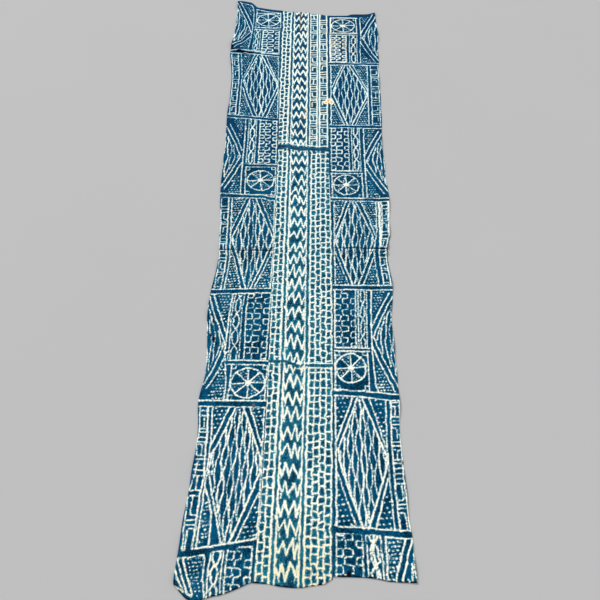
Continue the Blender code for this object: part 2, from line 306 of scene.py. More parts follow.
class Chart:
    """The marks of one strip, in millimetres across it from its left edge and along the cloth."""

    def __init__(self, seed, weight=1.0, finer=0.19):
        """weight makes all strokes wider, and finer is the share by which far strokes are narrower."""
        self.marks = []
        self.hand = random.Random(seed)
        self.weight = weight
        self.finer = finer

    def stroke(self, points, width=LINE, undyed=True, shake=0.5):
        """Adds a stroke through points. A dyed stroke covers what is under it."""
        drawn = [(p + self.hand.gauss(0.0, shake), y + self.hand.gauss(0.0, shake)) for p, y in points]
        self.marks.append((undyed, np.array(drawn), width * self.hand.uniform(0.88, 1.12)))

    def dye(self, points, width=STRIPE):
        """Adds a dyed band over what is under it."""
        self.stroke(points, width, undyed=False)

    def dot(self, p, y, size=DOT):
        """Adds one tied dot."""
        half = size * DOT_HALF_LENGTH
        self.stroke(((p - half, y), (p + half, y)), size * self.hand.uniform(0.8, 1.15), shake=0.55)

    def box(self, left, right, low, high, width=LINE):
        """Adds the four sides of a box."""
        self.stroke(((left, low), (left, high), (right, high), (right, low), (left, low)), width)

    def band(self, points, gap=8.0, width=LINE):
        """Adds a dyed band between two undyed lines. points run along its middle."""
        self.dye(points, gap + 2.0 * width)
        for side in (-1.0, 1.0):
            shift = side * (gap + width) / 2.0
            self.stroke([(p, y + shift) for p, y in points], width)

    def distances(self, across, along):
        """Returns each point's distance from the undyed strokes in millimetres, below zero inside them."""
        field = np.full(across.shape, FAR_FROM_STROKES)
        low = np.minimum.accumulate(along.min(axis=1)[::-1])[::-1]
        high = np.maximum.accumulate(along.max(axis=1))
        left = np.minimum.accumulate(across.min(axis=0)[::-1])[::-1]
        right = np.maximum.accumulate(across.max(axis=0))
        for undyed, points, width in self.marks:
            away = min(max(points[0][1] / FINEST_FROM, 0.0), 1.0)
            width = width * self.weight * (1.0 - self.finer * away)
            reach = width / 2.0 + (STROKE_REACH if undyed else 0.0)
            for (p0, y0), (p1, y1) in zip(points[:-1], points[1:]):
                r0 = np.searchsorted(high, min(y0, y1) - reach)
                r1 = np.searchsorted(low, max(y0, y1) + reach)
                c0 = np.searchsorted(right, min(p0, p1) - reach)
                c1 = np.searchsorted(left, max(p0, p1) + reach)
                if r0 >= r1 or c0 >= c1:
                    continue
                window = (slice(r0, r1), slice(c0, c1))
                dp, dy = across[window] - p0, along[window] - y0
                run_p, run_y = p1 - p0, y1 - y0
                square = max(run_p**2 + run_y**2, 1e-9)
                share = np.clip((dp * run_p + dy * run_y) / square, 0.0, 1.0)
                distance = np.hypot(dp - share * run_p, dy - share * run_y) - width / 2.0
                if undyed:
                    field[window] = np.minimum(field[window], distance)
                else:
                    field[window] = np.maximum(field[window], -distance)
        return field


def inside(corners, p, y, margin=0.0):
    """Tells whether a point is inside a polygon, by more than a margin."""
    within, nearest = False, 1e9
    for (p0, y0), (p1, y1) in zip(corners, corners[1:] + corners[:1]):
        if (y0 > y) != (y1 > y) and p < p0 + (y - y0) / (y1 - y0) * (p1 - p0):
            within = not within
        run_p, run_y = p1 - p0, y1 - y0
        square = max(run_p**2 + run_y**2, 1e-9)
        share = min(max(((p - p0) * run_p + (y - y0) * run_y) / square, 0.0), 1.0)
        nearest = min(nearest, math.hypot(p - p0 - share * run_p, y - y0 - share * run_y))
    return within and nearest > margin


def reach_of(corners):
    """Returns the left, right, low and high end of a polygon."""
    across, along = zip(*corners)
    return min(across), max(across), min(along), max(along)


def dots(chart, corners, pitch=DOT_PITCH, margin=DOT_MARGIN, slant=0.12, size=DOT):
    """Fills a polygon with rows of tied dots."""
    left, right, low, high = reach_of(corners)
    y, row = low + pitch[1] * 0.5 - slant * (right - left), 0
    while y < high:
        p = left + pitch[0] * (0.4 + 0.5 * (row % 2)) - slant * (high - low)
        while p < right:
            place = (p + slant * (y - low), y + slant * (p - left))
            if inside(corners, place[0], place[1], margin):
                chart.dot(place[0], place[1], size)
            p += pitch[0]
        y += pitch[1]
        row += 1


def net(chart, corners, axis, pitch=9.6, swing=2.1, width=4.0, phase=0.0, fan=0.25, power=2.0):
    """Fills a polygon with lengthwise lines that touch in turn and leave slender dyed cells.

    axis holds the places across of the net's middle line at the low and the high end. fan is the share by
    which the lines draw together at the ends, and power is how late along their length they do so.
    """
    left, right, low, high = reach_of(corners)
    middle, reach = (low + high) / 2.0, (high - low) / 2.0
    count = int((right - left) / pitch) + 3
    for number in range(-count, count + 1):
        sway = (swing if number % 2 else -swing) * chart.hand.uniform(0.8, 1.2)
        drift = chart.hand.uniform(-9.0, 9.0)
        start = number * pitch + chart.hand.gauss(0.0, 0.6)
        thick = width * chart.hand.uniform(0.8, 1.2)
        run = []
        y = low
        while y <= high + NET_STEP:
            share = (y - middle) / reach
            line = axis[0] + (axis[1] - axis[0]) * (y - low) / (high - low)
            wave = math.cos(math.tau * (y - middle + drift) / NET_CELL + phase)
            at = line + start * (1.0 - fan * abs(share) ** power) + sway * wave
            if inside(corners, at, y, NET_MARGIN):
                run.append((at, y))
            else:
                if len(run) > 1:
                    chart.stroke(run, thick, shake=0.45)
                run = []
            y += NET_STEP


def net_panel(
    chart, box, left, right, foot, head, drops=(38.0, 32.0), blunt=12.0, pitch=DOT_PITCH, by_hand=False
):
    """Adds the upright sides of a box with a net lozenge in it and dots in its corners.

    box is left, right, low and high, where low and high are pairs for the slant. left and right are the
    lozenge's side corners, and blunt is how tall each of them is. foot and head hold the four places across
    where its outer and inner lines meet the low and the high line. drops is how far below and above a side
    corner the outer lines start. pitch is the dots' own. by_hand leaves out the low left outer line, which
    then has a chart of its own.
    """
    box_left, box_right, lows, highs = box

    def line_at(ends, p):
        return ends[0] + (ends[1] - ends[0]) * (p - box_left) / (box_right - box_left)

    for side, number in ((box_left, 0), (box_right, 1)):
        chart.stroke(((side, lows[number]), (side, highs[number])))
    for ends, places, way in ((lows, foot, -1.0), (highs, head, 1.0)):
        drop = drops[0] if way < 0.0 else drops[1]
        for corner, side, outer_p, inner_p in (
            (left, box_left, places[0], places[1]),
            (right, box_right, places[3], places[2]),
        ):
            start = (corner[0], corner[1] + way * blunt / 2.0)
            inner = (inner_p, line_at(ends, inner_p))
            third = ((start[0] * 2 + inner[0]) / 3, (start[1] * 2 + inner[1]) / 3)
            chart.stroke((corner, start, third, inner), LINE * 1.15)
            if by_hand and side == box_left and way < 0.0:
                continue
            outer = (outer_p, line_at(ends, outer_p))
            start = (side + (3.0 if side == box_left else -3.0), corner[1] + way * drop)
            middle = ((start[0] + outer[0]) / 2.0, (start[1] + outer[1]) / 2.0)
            chart.stroke((start, middle, outer))
            dots(chart, ((side, line_at(ends, side)), (side, start[1]), outer), pitch)
    half = blunt / 2.0
    corners = (
        (left[0], left[1] - half),
        (foot[1], line_at(lows, foot[1])),
        (foot[2], line_at(lows, foot[2])),
        (right[0], right[1] - half),
        (right[0], right[1] + half),
        (head[2], line_at(highs, head[2])),
        (head[1], line_at(highs, head[1])),
        (left[0], left[1] + half),
    )
    net(chart, corners, ((foot[1] + foot[2]) / 2.0, (head[1] + head[2]) / 2.0))


def half_lozenge(chart, edge, vertex, low, high, turn=1.0):
    """Adds the half of a net lozenge that stands on a strip's edge, with its double outline.

    edge is the place across where it stands, vertex its point, low and high the places along where its
    inner lines reach the edge. turn is 1 when the point is to the right and -1 when it is to the left.
    """
    gap = LOZENGE_GAP
    for end, side in ((low, -1.0), (high, 1.0)):
        half_p, half_y = (vertex[0] + edge) / 2.0, (vertex[1] + end) / 2.0
        chart.stroke((vertex, (half_p, half_y + side * 4.0), (edge, end)))
        chart.stroke(
            (
                (vertex[0] + turn * 4.0, vertex[1] + side * (gap * 2.6)),
                (half_p + turn * gap, half_y + side * (gap + 6.0)),
                (edge + turn * gap, end + side * gap),
            )
        )
    corners = ((edge - turn * 6.0, low), vertex, (edge - turn * 6.0, high))
    net(chart, corners, (edge, edge), 10.4, swing=1.6, width=3.5, phase=1.2, fan=0.78, power=1.25)


def loop(chart, fixed, free, low, high, width=FINE_LINE):
    """Adds a squared loop that opens towards a border line."""
    corner = free + (fixed - free) * 0.22
    chart.stroke(
        ((fixed, high), (corner, high), (free, high - 2.5), (free, low + 2.5), (corner, low), (fixed, low)),
        width,
        shake=0.6,
    )


def maze(chart, left, right, low, high, pitch=31.0, phase=0.0, width=FINE_LINE):
    """Adds a box with a squarely winding line, and loops from both sides that reach into its bends."""
    chart.box(left, right, low, high, width)
    wide = right - left
    ins = (left + wide * MAZE_BENDS[0], left + wide * MAZE_BENDS[1])
    y = low + 4.0 - phase * pitch
    points, number = [], 0
    while y < high - 5.0:
        start, end = max(y, low + 3.0), min(y + pitch / 2.0, high - 3.0)
        at = ins[number % 2] + chart.hand.gauss(0.0, 0.9)
        if end - start > 2.0:
            points += [(at, start + 1.0), (at, end - 1.0)]
        if end - start > pitch * 0.3:
            if number % 2:
                loop(chart, left, left + wide * MAZE_LOOPS[0], start, end, width)
            else:
                loop(chart, right, right - wide * MAZE_LOOPS[1], start, end, width)
        y += pitch / 2.0 + chart.hand.gauss(0.0, 0.6)
        number += 1
    chart.stroke(points, width, shake=0.5)


def twist(chart, lefts, rights, low, high, period=92.0, width=3.5, phase=0.0):
    """Adds two strands that cross over each other between two border lines, given at the low and high end."""
    start = (lefts[0], low)
    chart.stroke((start, (lefts[1], high), (rights[1], high), (rights[0], low), start), FINE_LINE)
    for side in (1.0, -1.0):
        points = []
        y = low + 1.0
        while y < high:
            share = (y - low) / (high - low)
            left = lefts[0] + (lefts[1] - lefts[0]) * share
            right = rights[0] + (rights[1] - rights[0]) * share
            swing = 1.4 * math.sin(math.tau * (y - low) / period + phase)
            reach = (right - left) / 2.0 - TWIST_MARGIN
            at = (left + right) / 2.0 + side * reach * min(max(swing, -1.0), 1.0)
            points.append((at + chart.hand.gauss(0.0, 0.5), y))
            y += TWIST_STEP
        chart.stroke(points, width, shake=0.5)


def wheel(chart, centre, radii, box, dotted=(0, 2, 4, 6)):
    """Adds a wheel of eight spokes in a box, with dots in some of its parts and a square in each corner."""
    left, right, low, high = box
    middle_p, middle_y = centre
    radius_p, radius_y = radii
    chart.box(left, right, low, high)
    ring = []
    for step in range(17):
        turn = math.tau * (step + 0.5) / 16
        ring.append((middle_p + radius_p * math.cos(turn), middle_y + radius_y * math.sin(turn)))
    chart.stroke(ring, LINE * 1.15, shake=0.6)
    for step in range(4):
        turn = math.pi * step / 4.0 + chart.hand.gauss(0.03, 0.03)
        reach_p, reach_y = radius_p * math.cos(turn), radius_y * math.sin(turn)
        chart.stroke(((middle_p - reach_p, middle_y - reach_y), (middle_p + reach_p, middle_y + reach_y)))
    chart.dot(middle_p, middle_y, 12.0)
    places = ((0.44, 0.0), (0.62, -0.16), (0.62, 0.18), (0.8, -0.25), (0.8, 0.0), (0.8, 0.25))
    for part in dotted:
        for out, shift in places:
            turn = math.pi * (part + 0.5) / 4.0 + shift
            dot_p = middle_p + radius_p * out * math.cos(turn)
            chart.dot(dot_p, middle_y + radius_y * out * math.sin(turn), 2.9)
    for p, way in ((left, 1.0), (right, -1.0)):
        for y, rise in ((low, 1.0), (high, -1.0)):
            inner_p, inner_y = p + way * 10.0, y + rise * 12.0
            chart.stroke(((p, inner_y), (inner_p, inner_y), (inner_p, y)), 3.0)


def ladder(chart, left, right, rungs, leg=-1.0, width=FINE_LINE):
    """Adds a column of rungs and cells. rungs holds a kind, a low and a high place for each.

    A nest is a bar with a bent line in it that opens towards the near end, and a cup one that opens towards
    the far end. leg is -1 when the bent line stands by the left side and 1 when by the right.
    """
    for kind, low, high in rungs:
        if kind == "bar":
            chart.stroke(((left, low), (right, high)), width)
        elif kind == "cell":
            chart.stroke(((left, low), (right, low)), width)
            chart.stroke(((left, high), (right, high)), width)
            at = (left + right) / 2.0
            chart.stroke(((at, low), (at, high)), width)
        else:
            post, foot = (left, right) if leg < 0.0 else (right, left)
            open_end, shut_end = (low, high) if kind == "nest" else (high, low)
            turn = -1.0 if kind == "nest" else 1.0
            chart.stroke(((left, shut_end), (right, shut_end)), width)
            at, end = post - leg * 6.0, shut_end + turn * 9.0
            chart.stroke(((at, open_end), (at, end + turn * 3.0), (at - leg * 2.5, end), (foot, end)), width)


def rung_run(low, high):
    """Returns the rungs of a ladder that repeats from low to high: a nest, a cup, bars and a cell."""
    rungs = []
    y = low
    kinds = ("bar", "nest", "cup", "bar", "bar", "bar", "cell", "bar", "bar")
    lengths = {"bar": 11.0, "cell": 30.0, "nest": 34.0, "cup": 34.0}
    number = 0
    while True:
        kind = kinds[number % len(kinds)]
        if y + lengths[kind] > high:
            break
        top = y if kind == "bar" else y + lengths[kind] - 7.0
        rungs.append((kind, y, top))
        y += lengths[kind]
        number += 1
    return rungs


def checkers(chart, left, right, columns, low, high, row=18.9, width=3.6, lean=0.0):
    """Adds columns of small dyed cells between undyed lines, whose rows drift out of line with each other."""
    pitch = (right - left) / columns

    def edge(number, y):
        return left + pitch * number + lean * (high - y) / (high - low)

    for column in range(columns + 1):
        points = []
        y = low
        while y < high + row:
            points.append((edge(column, y) + chart.hand.gauss(0.0, 1.1), min(y, high)))
            y += row * 0.5
        chart.stroke(points, width, shake=0.3)
    for column in range(columns):
        y = low + (row * 0.3 if column % 2 else 0.0) + chart.hand.gauss(0.0, 2.0)
        while y < high:
            start, end = edge(column, y), edge(column + 1, y)
            rise = chart.hand.gauss(0.0, 1.4)
            if y > low:
                chart.stroke(((start, y), (end, y + rise)), width * chart.hand.uniform(0.85, 1.2))
            y += row + chart.hand.gauss(0.0, 1.9)


# A zigzag's turns: share of its width, share of its height
ZIGZAG_TURNS = (
    (-0.07, 1.05),
    (-0.05, 0.7),
    (0.08, 0.05),
    (0.28, 1.0),
    (0.47, 0.0),
    (0.67, 1.0),
    (0.88, 0.0),
    (1.02, 0.75),
)
# Its tails: share of the width, shares of the height of both ends
ZIGZAG_TAILS = (
    (0.08, 0.1, -0.18),
    (0.47, 0.02, -0.16),
    (0.88, 0.05, -0.2),
    (0.3, 0.5, 0.9),
    (0.68, 0.5, 0.85),
)


def zigzag(chart, left, right, peaks, height=30.0, width=4.7, lean=0.0, span=(0.0, 1.0), tails=0.7):
    """Adds rows of a wide zigzag with tails. peaks holds the place along of each row's points."""
    low, high = span
    wide = right - left
    for peak in peaks:
        shift = lean * (high - peak) / (high - low)
        points = []
        for share, up in ZIGZAG_TURNS:
            rise = height * (1.0 - up) + chart.hand.gauss(0.0, 3.0)
            points.append((left + wide * share + shift + chart.hand.gauss(0.0, 1.4), peak - rise))
        chart.stroke(points, width, shake=0.6)
        for share, top, bottom in ZIGZAG_TAILS:
            if chart.hand.random() < tails:
                at = left + wide * share + shift
                start, end = peak - height * (1.0 - top), peak - height * (1.0 - bottom)
                chart.stroke(((at, start), (at + chart.hand.gauss(0.0, 1.5), end)), width * 0.62)


# Where the pattern's inner edges lie: along, left strip's, right strip's.
# The few millimetres between them and the seams are what the sewing took in.
CHART_SEAMS = (
    (-10.0, -79.0, 66.0),
    (155.0, -75.5, 69.5),
    (405.0, -73.4, 70.4),
    (550.0, -70.0, 70.0),
    (735.0, -65.2, 69.6),
    (850.0, -63.6, 69.0),
    (1000.0, -65.2, 68.6),
    (1245.0, -70.2, 68.3),
    (1525.0, -76.0, 68.0),
    (1727.0, -80.2, 68.2),
    (1915.0, -82.0, 68.3),
)
# Added to a point's x, it gives the place across the centre strip's chart
CENTRE_CHART_START = 95.0


def left_chart():
    """Charts the left strip: net panels with an outer ladder, and blocks with wheels, mazes and twists."""
    chart = Chart(11, 1.0, 0.21)

    # Block at the near end
    chart.stroke(((0.0, 70.0), (25.0, 73.0), (50.0, 78.0), (53.0, 66.0), (56.0, 30.0), (59.0, -4.0)))
    chart.stroke(((2.0, 68.0), (10.0, 46.0), (20.0, 25.0), (28.0, 6.0)))
    chart.stroke(((13.0, 68.0), (22.0, 44.0), (30.0, 25.0), (38.0, 2.0)))
    chart.stroke(((0.0, 22.0), (14.0, 12.0), (36.0, -2.0)), FINE_LINE)
    chart.stroke(((0.0, 52.0), (8.0, 32.0), (20.0, 12.0)), FINE_LINE)
    field = ((17.0, 72.0), (50.0, 76.0), (56.0, -8.0), (40.0, -8.0), (34.0, 18.0))
    dots(chart, field, (6.8, 7.2), slant=0.14, size=2.9)
    twist(chart, (64.0, 62.0), (87.0, 87.0), -12.0, 86.0, 70.0, 4.4)
    maze(chart, 95.0, 141.0, 6.0, 94.0, 32.0, 0.6)
    chart.dye(((0.0, 80.0), (60.0, 89.0), (100.0, 96.0), (152.0, 109.0)), 9.0)

    # First net panel
    chart.stroke(((32.0, 90.0), (90.0, 100.0), (149.0, 112.0)))
    net_panel(
        chart,
        (32.5, 149.0, (90.0, 111.0), (400.0, 400.0)),
        (37.0, 269.0),
        (146.0, 266.0),
        (56.0, 81.0, 95.0, 108.0),
        (71.0, 85.0, 101.0, 116.0),
        (60.0, 42.0),
        32.0,
        (9.6, 9.6),
        by_hand=True,
    )
    chart.stroke(((36.0, 212.0), (45.0, 190.0), (52.0, 166.0), (55.0, 140.0), (56.0, 96.0)), 4.6)
    field = ((36.0, 93.0), (36.0, 202.0), (44.0, 184.0), (52.0, 146.0), (54.0, 95.0))
    dots(chart, field, (6.6, 8.0), 2.2, 0.1)
    chart.stroke(((6.0, 86.0), (4.0, 130.0), (1.5, 196.0)), FINE_LINE)
    chart.stroke(((2.0, 209.0), (8.0, 238.0), (11.0, 275.0)), FINE_LINE)
    chart.stroke(((5.0, 284.0), (2.0, 310.0), (4.0, 330.0), (5.0, 372.0), (4.0, 398.0)), FINE_LINE)
    chart.stroke(((25.0, 87.0), (26.5, 130.0), (25.5, 200.0), (27.5, 240.0), (23.0, 300.0), (21.5, 398.0)))
    ladder(
        chart,
        5.0,
        25.0,
        (
            ("nest", 87.0, 137.0), ("cup", 147.0, 196.0), ("bar", 197.0, 197.0), ("bar", 208.0, 208.0),
            ("cell", 208.0, 240.0), ("bar", 252.0, 252.0), ("bar", 264.0, 264.0), ("bar", 276.0, 276.0),
            ("cell", 284.0, 310.0), ("bar", 316.0, 316.0), ("bar", 326.0, 326.0), ("bar", 337.0, 337.0),
            ("cell", 346.0, 378.0), ("bar", 388.0, 388.0),
        ),
    )
    chart.band(((0.0, 408.0), (152.0, 407.5)), 11.5)

    # First block
    chart.stroke(
        (
            (56.0, 416.0),
            (52.0, 455.0),
            (47.0, 500.0),
            (43.5, 545.0),
            (45.5, 570.0),
            (49.0, 603.0),
            (52.0, 640.0),
            (52.5, 703.0),
        )
    )
    half_lozenge(chart, 0.0, (43.0, 563.0), 452.0, 694.0)
    dots(chart, ((16.0, 703.0), (50.0, 703.0), (47.0, 590.0)), slant=0.05)
    dots(chart, ((10.0, 418.0), (56.0, 418.0), (42.0, 535.0)), slant=0.05)
    twist(chart, (51.5, 60.0), (78.5, 81.0), 518.4, 706.0, 92.0, phase=0.5)
    maze(chart, 90.0, 143.0, 518.4, 708.5, 31.5, 0.0)
    chart.band(((53.0, 513.0), (150.0, 513.0)), 7.0)
    wheel(chart, (104.0, 460.0), (40.5, 38.0), (62.0, 148.0, 416.0, 507.6))
    chart.band(((0.0, 710.0), (60.0, 713.0), (152.0, 717.0)), 10.0)

    # Second net panel
    net_panel(
        chart,
        (29.0, 141.0, (718.4, 723.2), (1022.5, 1014.5)),
        (34.0, 880.0),
        (138.0, 880.0),
        (71.0, 81.0, 90.0, 101.0),
        (66.0, 78.0, 92.0, 106.0),
    )
    chart.stroke(((4.0, 722.0), (2.0, 860.0), (3.0, 1018.0)))
    chart.stroke(((22.0, 722.0), (20.0, 860.0), (22.0, 1018.0)))
    ladder(chart, 4.0, 21.0, rung_run(726.0, 1016.0))
    chart.band(((0.0, 1030.0), (60.0, 1028.5), (110.0, 1026.5), (126.0, 1021.0), (152.0, 1019.0)), 8.5)

    # Second block
    chart.stroke(((52.0, 1037.0), (53.0, 1180.0), (54.0, 1336.0)))
    half_lozenge(chart, 0.0, (46.0, 1178.0), 1062.0, 1300.0)
    dots(chart, ((16.0, 1338.0), (50.0, 1338.0), (48.0, 1220.0)), slant=0.05)
    dots(chart, ((12.0, 1040.0), (50.0, 1040.0), (46.0, 1140.0)), slant=0.05)
    wheel(chart, (103.0, 1087.0), (36.0, 37.0), (63.0, 143.0, 1034.0, 1138.6))
    chart.band(((60.0, 1144.0), (144.0, 1143.0)), 7.0)
    twist(chart, (62.0, 63.0), (85.0, 85.0), 1149.4, 1334.0, 98.0, 5.0)
    maze(chart, 94.5, 143.0, 1149.4, 1328.0, 24.0, 0.4, 4.4)
    chart.band(((0.0, 1347.0), (60.0, 1341.0), (100.0, 1336.0), (152.0, 1330.0)), 8.0)

    # Third net panel
    net_panel(
        chart,
        (33.0, 145.0, (1349.6, 1336.8), (1638.5, 1623.5)),
        (38.0, 1505.0),
        (141.0, 1484.0),
        (73.0, 87.0, 100.0, 111.0),
        (73.0, 83.0, 92.0, 105.0),
        (30.0, 14.0),
    )
    chart.stroke(((5.0, 1352.0), (4.0, 1638.0)))
    chart.stroke(((23.0, 1352.0), (23.0, 1638.0)))
    ladder(chart, 5.0, 23.0, rung_run(1358.0, 1636.0))
    chart.band(((0.0, 1647.0), (70.0, 1641.0), (152.0, 1628.0)), 8.0)

    # Block at the far end
    chart.stroke(((53.0, 1656.0), (55.0, 1700.0), (59.0, 1780.0), (57.0, 1850.0), (54.0, 1880.0)))
    chart.stroke(((54.0, 1880.0), (48.0, 1893.0), (36.0, 1898.0), (10.0, 1905.0)), 4.4)
    half_lozenge(chart, 0.0, (53.0, 1750.0), 1668.0, 1900.0)
    dots(chart, ((20.0, 1896.0), (54.0, 1884.0), (54.0, 1800.0)), slant=0.05)
    dots(chart, ((20.0, 1656.0), (54.0, 1654.0), (54.0, 1720.0)), slant=0.05)
    twist(chart, (65.0, 66.0), (85.0, 86.0), 1647.0, 1762.0, 66.0, 4.8)
    maze(chart, 93.0, 145.0, 1640.0, 1758.0, 24.0, 0.3, 4.6)
    chart.band(((64.0, 1769.0), (100.0, 1767.0), (150.0, 1759.0)), 5.0)
    wheel(chart, (107.0, 1813.0), (38.0, 33.0), (66.0, 148.0, 1774.0, 1851.0))
    chart.stroke(((66.0, 1851.0), (66.0, 1872.0), (100.0, 1861.0), (150.0, 1852.0)), 4.6)
    return chart


def right_chart():
    """Charts the right strip, which mirrors the left one a little out of step."""
    chart = Chart(23)

    # Block at the near end
    maze(chart, 6.0, 56.0, 36.0, 124.0, 32.0, 0.3)
    twist(chart, (66.0, 64.0), (92.0, 90.0), 30.0, 122.0, 88.0, 4.6, 0.9)
    chart.stroke(((81.0, 30.0), (80.0, 60.0), (76.0, 90.0), (79.0, 120.0)), 4.4)
    chart.box(99.0, 153.0, 28.0, 117.0)
    chart.stroke(((138.0, 117.0), (126.0, 80.0), (112.0, 30.0)))
    chart.stroke(((152.0, 117.0), (138.0, 80.0), (124.0, 30.0)))
    net(chart, ((126.0, 26.0), (154.0, 108.0), (154.0, 26.0)), (151.0, 151.0))
    dots(chart, ((99.0, 117.0), (136.0, 117.0), (112.0, 28.0), (99.0, 28.0)))
    chart.dye(((0.0, 131.0), (152.0, 122.0)), 9.0)

    # First net panel
    chart.stroke(((5.0, 141.0), (12.0, 138.5), (60.0, 137.0), (120.0, 131.5), (150.0, 131.0)))
    net_panel(
        chart,
        (6.0, 120.0, (139.0, 131.0), (431.5, 422.7)),
        (13.0, 292.0),
        (117.0, 278.0),
        (45.0, 58.0, 70.0, 83.0),
        (46.0, 57.0, 66.0, 83.0),
        blunt=24.0,
        pitch=(10.0, 11.0),
    )
    chart.stroke(((130.0, 131.0), (131.0, 421.0)))
    chart.stroke(((150.0, 131.0), (151.0, 421.0)))
    ladder(
        chart,
        131.0,
        150.0,
        (
            ("nest", 134.0, 176.0), ("cup", 184.0, 228.0), ("bar", 228.0, 228.0), ("bar", 240.0, 240.0),
            ("bar", 251.0, 251.0), ("bar", 262.0, 262.0), ("bar", 274.0, 274.0), ("cell", 281.0, 303.0),
            ("bar", 313.0, 313.0), ("bar", 322.0, 322.0), ("nest", 332.0, 362.0), ("bar", 372.0, 372.0),
            ("cell", 381.0, 406.0), ("bar", 414.0, 414.0),
        ),
        leg=1.0,
    )
    chart.band(((0.0, 439.0), (60.0, 436.0), (110.0, 431.0), (152.0, 427.0)), 11.0)

    # First block
    wheel(chart, (45.0, 502.0), (36.0, 39.0), (8.0, 86.0, 444.0, 546.6))
    chart.stroke(((7.5, 447.0), (8.0, 720.0)), 4.6)
    chart.band(((8.0, 551.0), (92.0, 551.0)), 5.0)
    maze(chart, 9.5, 60.0, 555.4, 722.0, 31.0, 0.2)
    twist(chart, (67.0, 67.0), (87.5, 87.5), 555.4, 722.0, 92.0, phase=0.8)
    chart.stroke(((106.0, 439.0), (99.5, 462.0), (99.5, 580.0), (99.0, 722.0)))
    half_lozenge(chart, 152.0, (103.0, 588.0), 452.0, 704.0, turn=-1.0)
    dots(chart, ((100.0, 442.0), (140.0, 442.0), (104.0, 545.0)), slant=0.05)
    dots(chart, ((100.0, 718.0), (138.0, 718.0), (104.0, 640.0)), slant=0.05)
    chart.band(((0.0, 729.0), (152.0, 729.5)), 10.0)

    # Second net panel
    net_panel(
        chart,
        (10.0, 118.0, (736.0, 736.0), (1015.0, 1015.0)),
        (15.0, 878.0),
        (117.0, 862.0),
        (44.0, 54.0, 67.0, 80.0),
        (42.0, 53.0, 64.0, 77.0),
    )
    chart.stroke(((131.0, 740.0), (131.0, 1012.0)))
    chart.stroke(((150.0, 740.0), (150.0, 1012.0)))
    ladder(chart, 131.0, 148.0, rung_run(745.0, 1010.0), leg=1.0)
    chart.stroke(((134.0, 856.0), (127.0, 890.0), (125.0, 940.0), (125.5, 1012.0)), 6.8)
    chart.stroke(((147.5, 905.0), (147.5, 1012.0)), 5.6)
    chart.band(((0.0, 1020.0), (152.0, 1020.0)), 6.8)

    # Second block
    wheel(chart, (44.0, 1074.0), (34.0, 37.0), (7.0, 87.0, 1025.0, 1117.3))
    chart.band(((5.0, 1122.0), (89.0, 1122.0)), 5.8)
    maze(chart, 5.0, 55.0, 1126.7, 1300.0, 30.0, 0.5, 4.2)
    twist(chart, (64.0, 64.0), (87.0, 87.0), 1126.7, 1300.0, 92.0, 5.0)
    chart.stroke(((98.0, 1029.0), (99.0, 1296.0)))
    half_lozenge(chart, 152.0, (103.0, 1165.0), 1050.0, 1278.0, turn=-1.0)
    dots(chart, ((100.0, 1030.0), (138.0, 1030.0), (104.0, 1110.0)), slant=0.05)
    dots(chart, ((100.0, 1294.0), (138.0, 1294.0), (104.0, 1215.0)), slant=0.05)
    chart.band(((0.0, 1306.0), (152.0, 1305.0)), 8.0)

    # Third net panel
    net_panel(
        chart,
        (7.0, 116.0, (1312.0, 1311.0), (1586.0, 1584.0)),
        (13.0, 1456.0),
        (113.0, 1446.0),
        (45.0, 54.0, 66.0, 76.0),
        (43.0, 51.0, 62.0, 72.0),
        (30.0, 22.0),
    )
    chart.stroke(((127.0, 1314.0), (127.0, 1584.0)))
    chart.stroke(((149.0, 1314.0), (149.0, 1584.0)))
    ladder(chart, 128.0, 149.0, rung_run(1320.0, 1582.0), leg=1.0)
    chart.band(((0.0, 1591.0), (152.0, 1589.5)), 6.5)

    # Block at the far end
    chart.stroke(((5.0, 1598.0), (5.0, 1736.0)), 5.0)
    maze(chart, 8.0, 54.0, 1600.0, 1736.0, 19.0, width=5.2)
    twist(chart, (65.0, 65.0), (88.0, 88.0), 1596.0, 1736.0, 88.0, 4.8)
    chart.stroke(((98.5, 1598.0), (99.5, 1832.0)))
    half_lozenge(chart, 152.0, (104.0, 1723.0), 1608.0, 1838.0, turn=-1.0)
    dots(chart, ((100.0, 1600.0), (134.0, 1600.0), (104.0, 1662.0)), slant=0.05)
    dots(chart, ((102.0, 1836.0), (132.0, 1836.0), (106.0, 1782.0)), slant=0.05)
    chart.band(((5.0, 1741.0), (90.0, 1741.0)), 4.0)
    wheel(chart, (46.0, 1787.0), (35.0, 33.0), (7.0, 88.0, 1748.0, 1828.0))
    chart.stroke(((8.0, 1748.0), (8.0, 1828.0), (90.0, 1829.0)), 5.4)
    return chart


ZIGZAG_NEAR = (65.0, 110.0, 150.0, 190.0, 230.0, 272.0, 315.0, 355.0, 400.0, 440.0, 480.0, 516.0)
ZIGZAG_MID = (
    540.0, 583.0, 625.0, 668.0, 711.0, 752.0, 793.0, 832.0, 870.0, 912.0, 952.0, 991.0, 1030.0, 1068.0,
    1105.0, 1142.0, 1180.0, 1216.0,
)


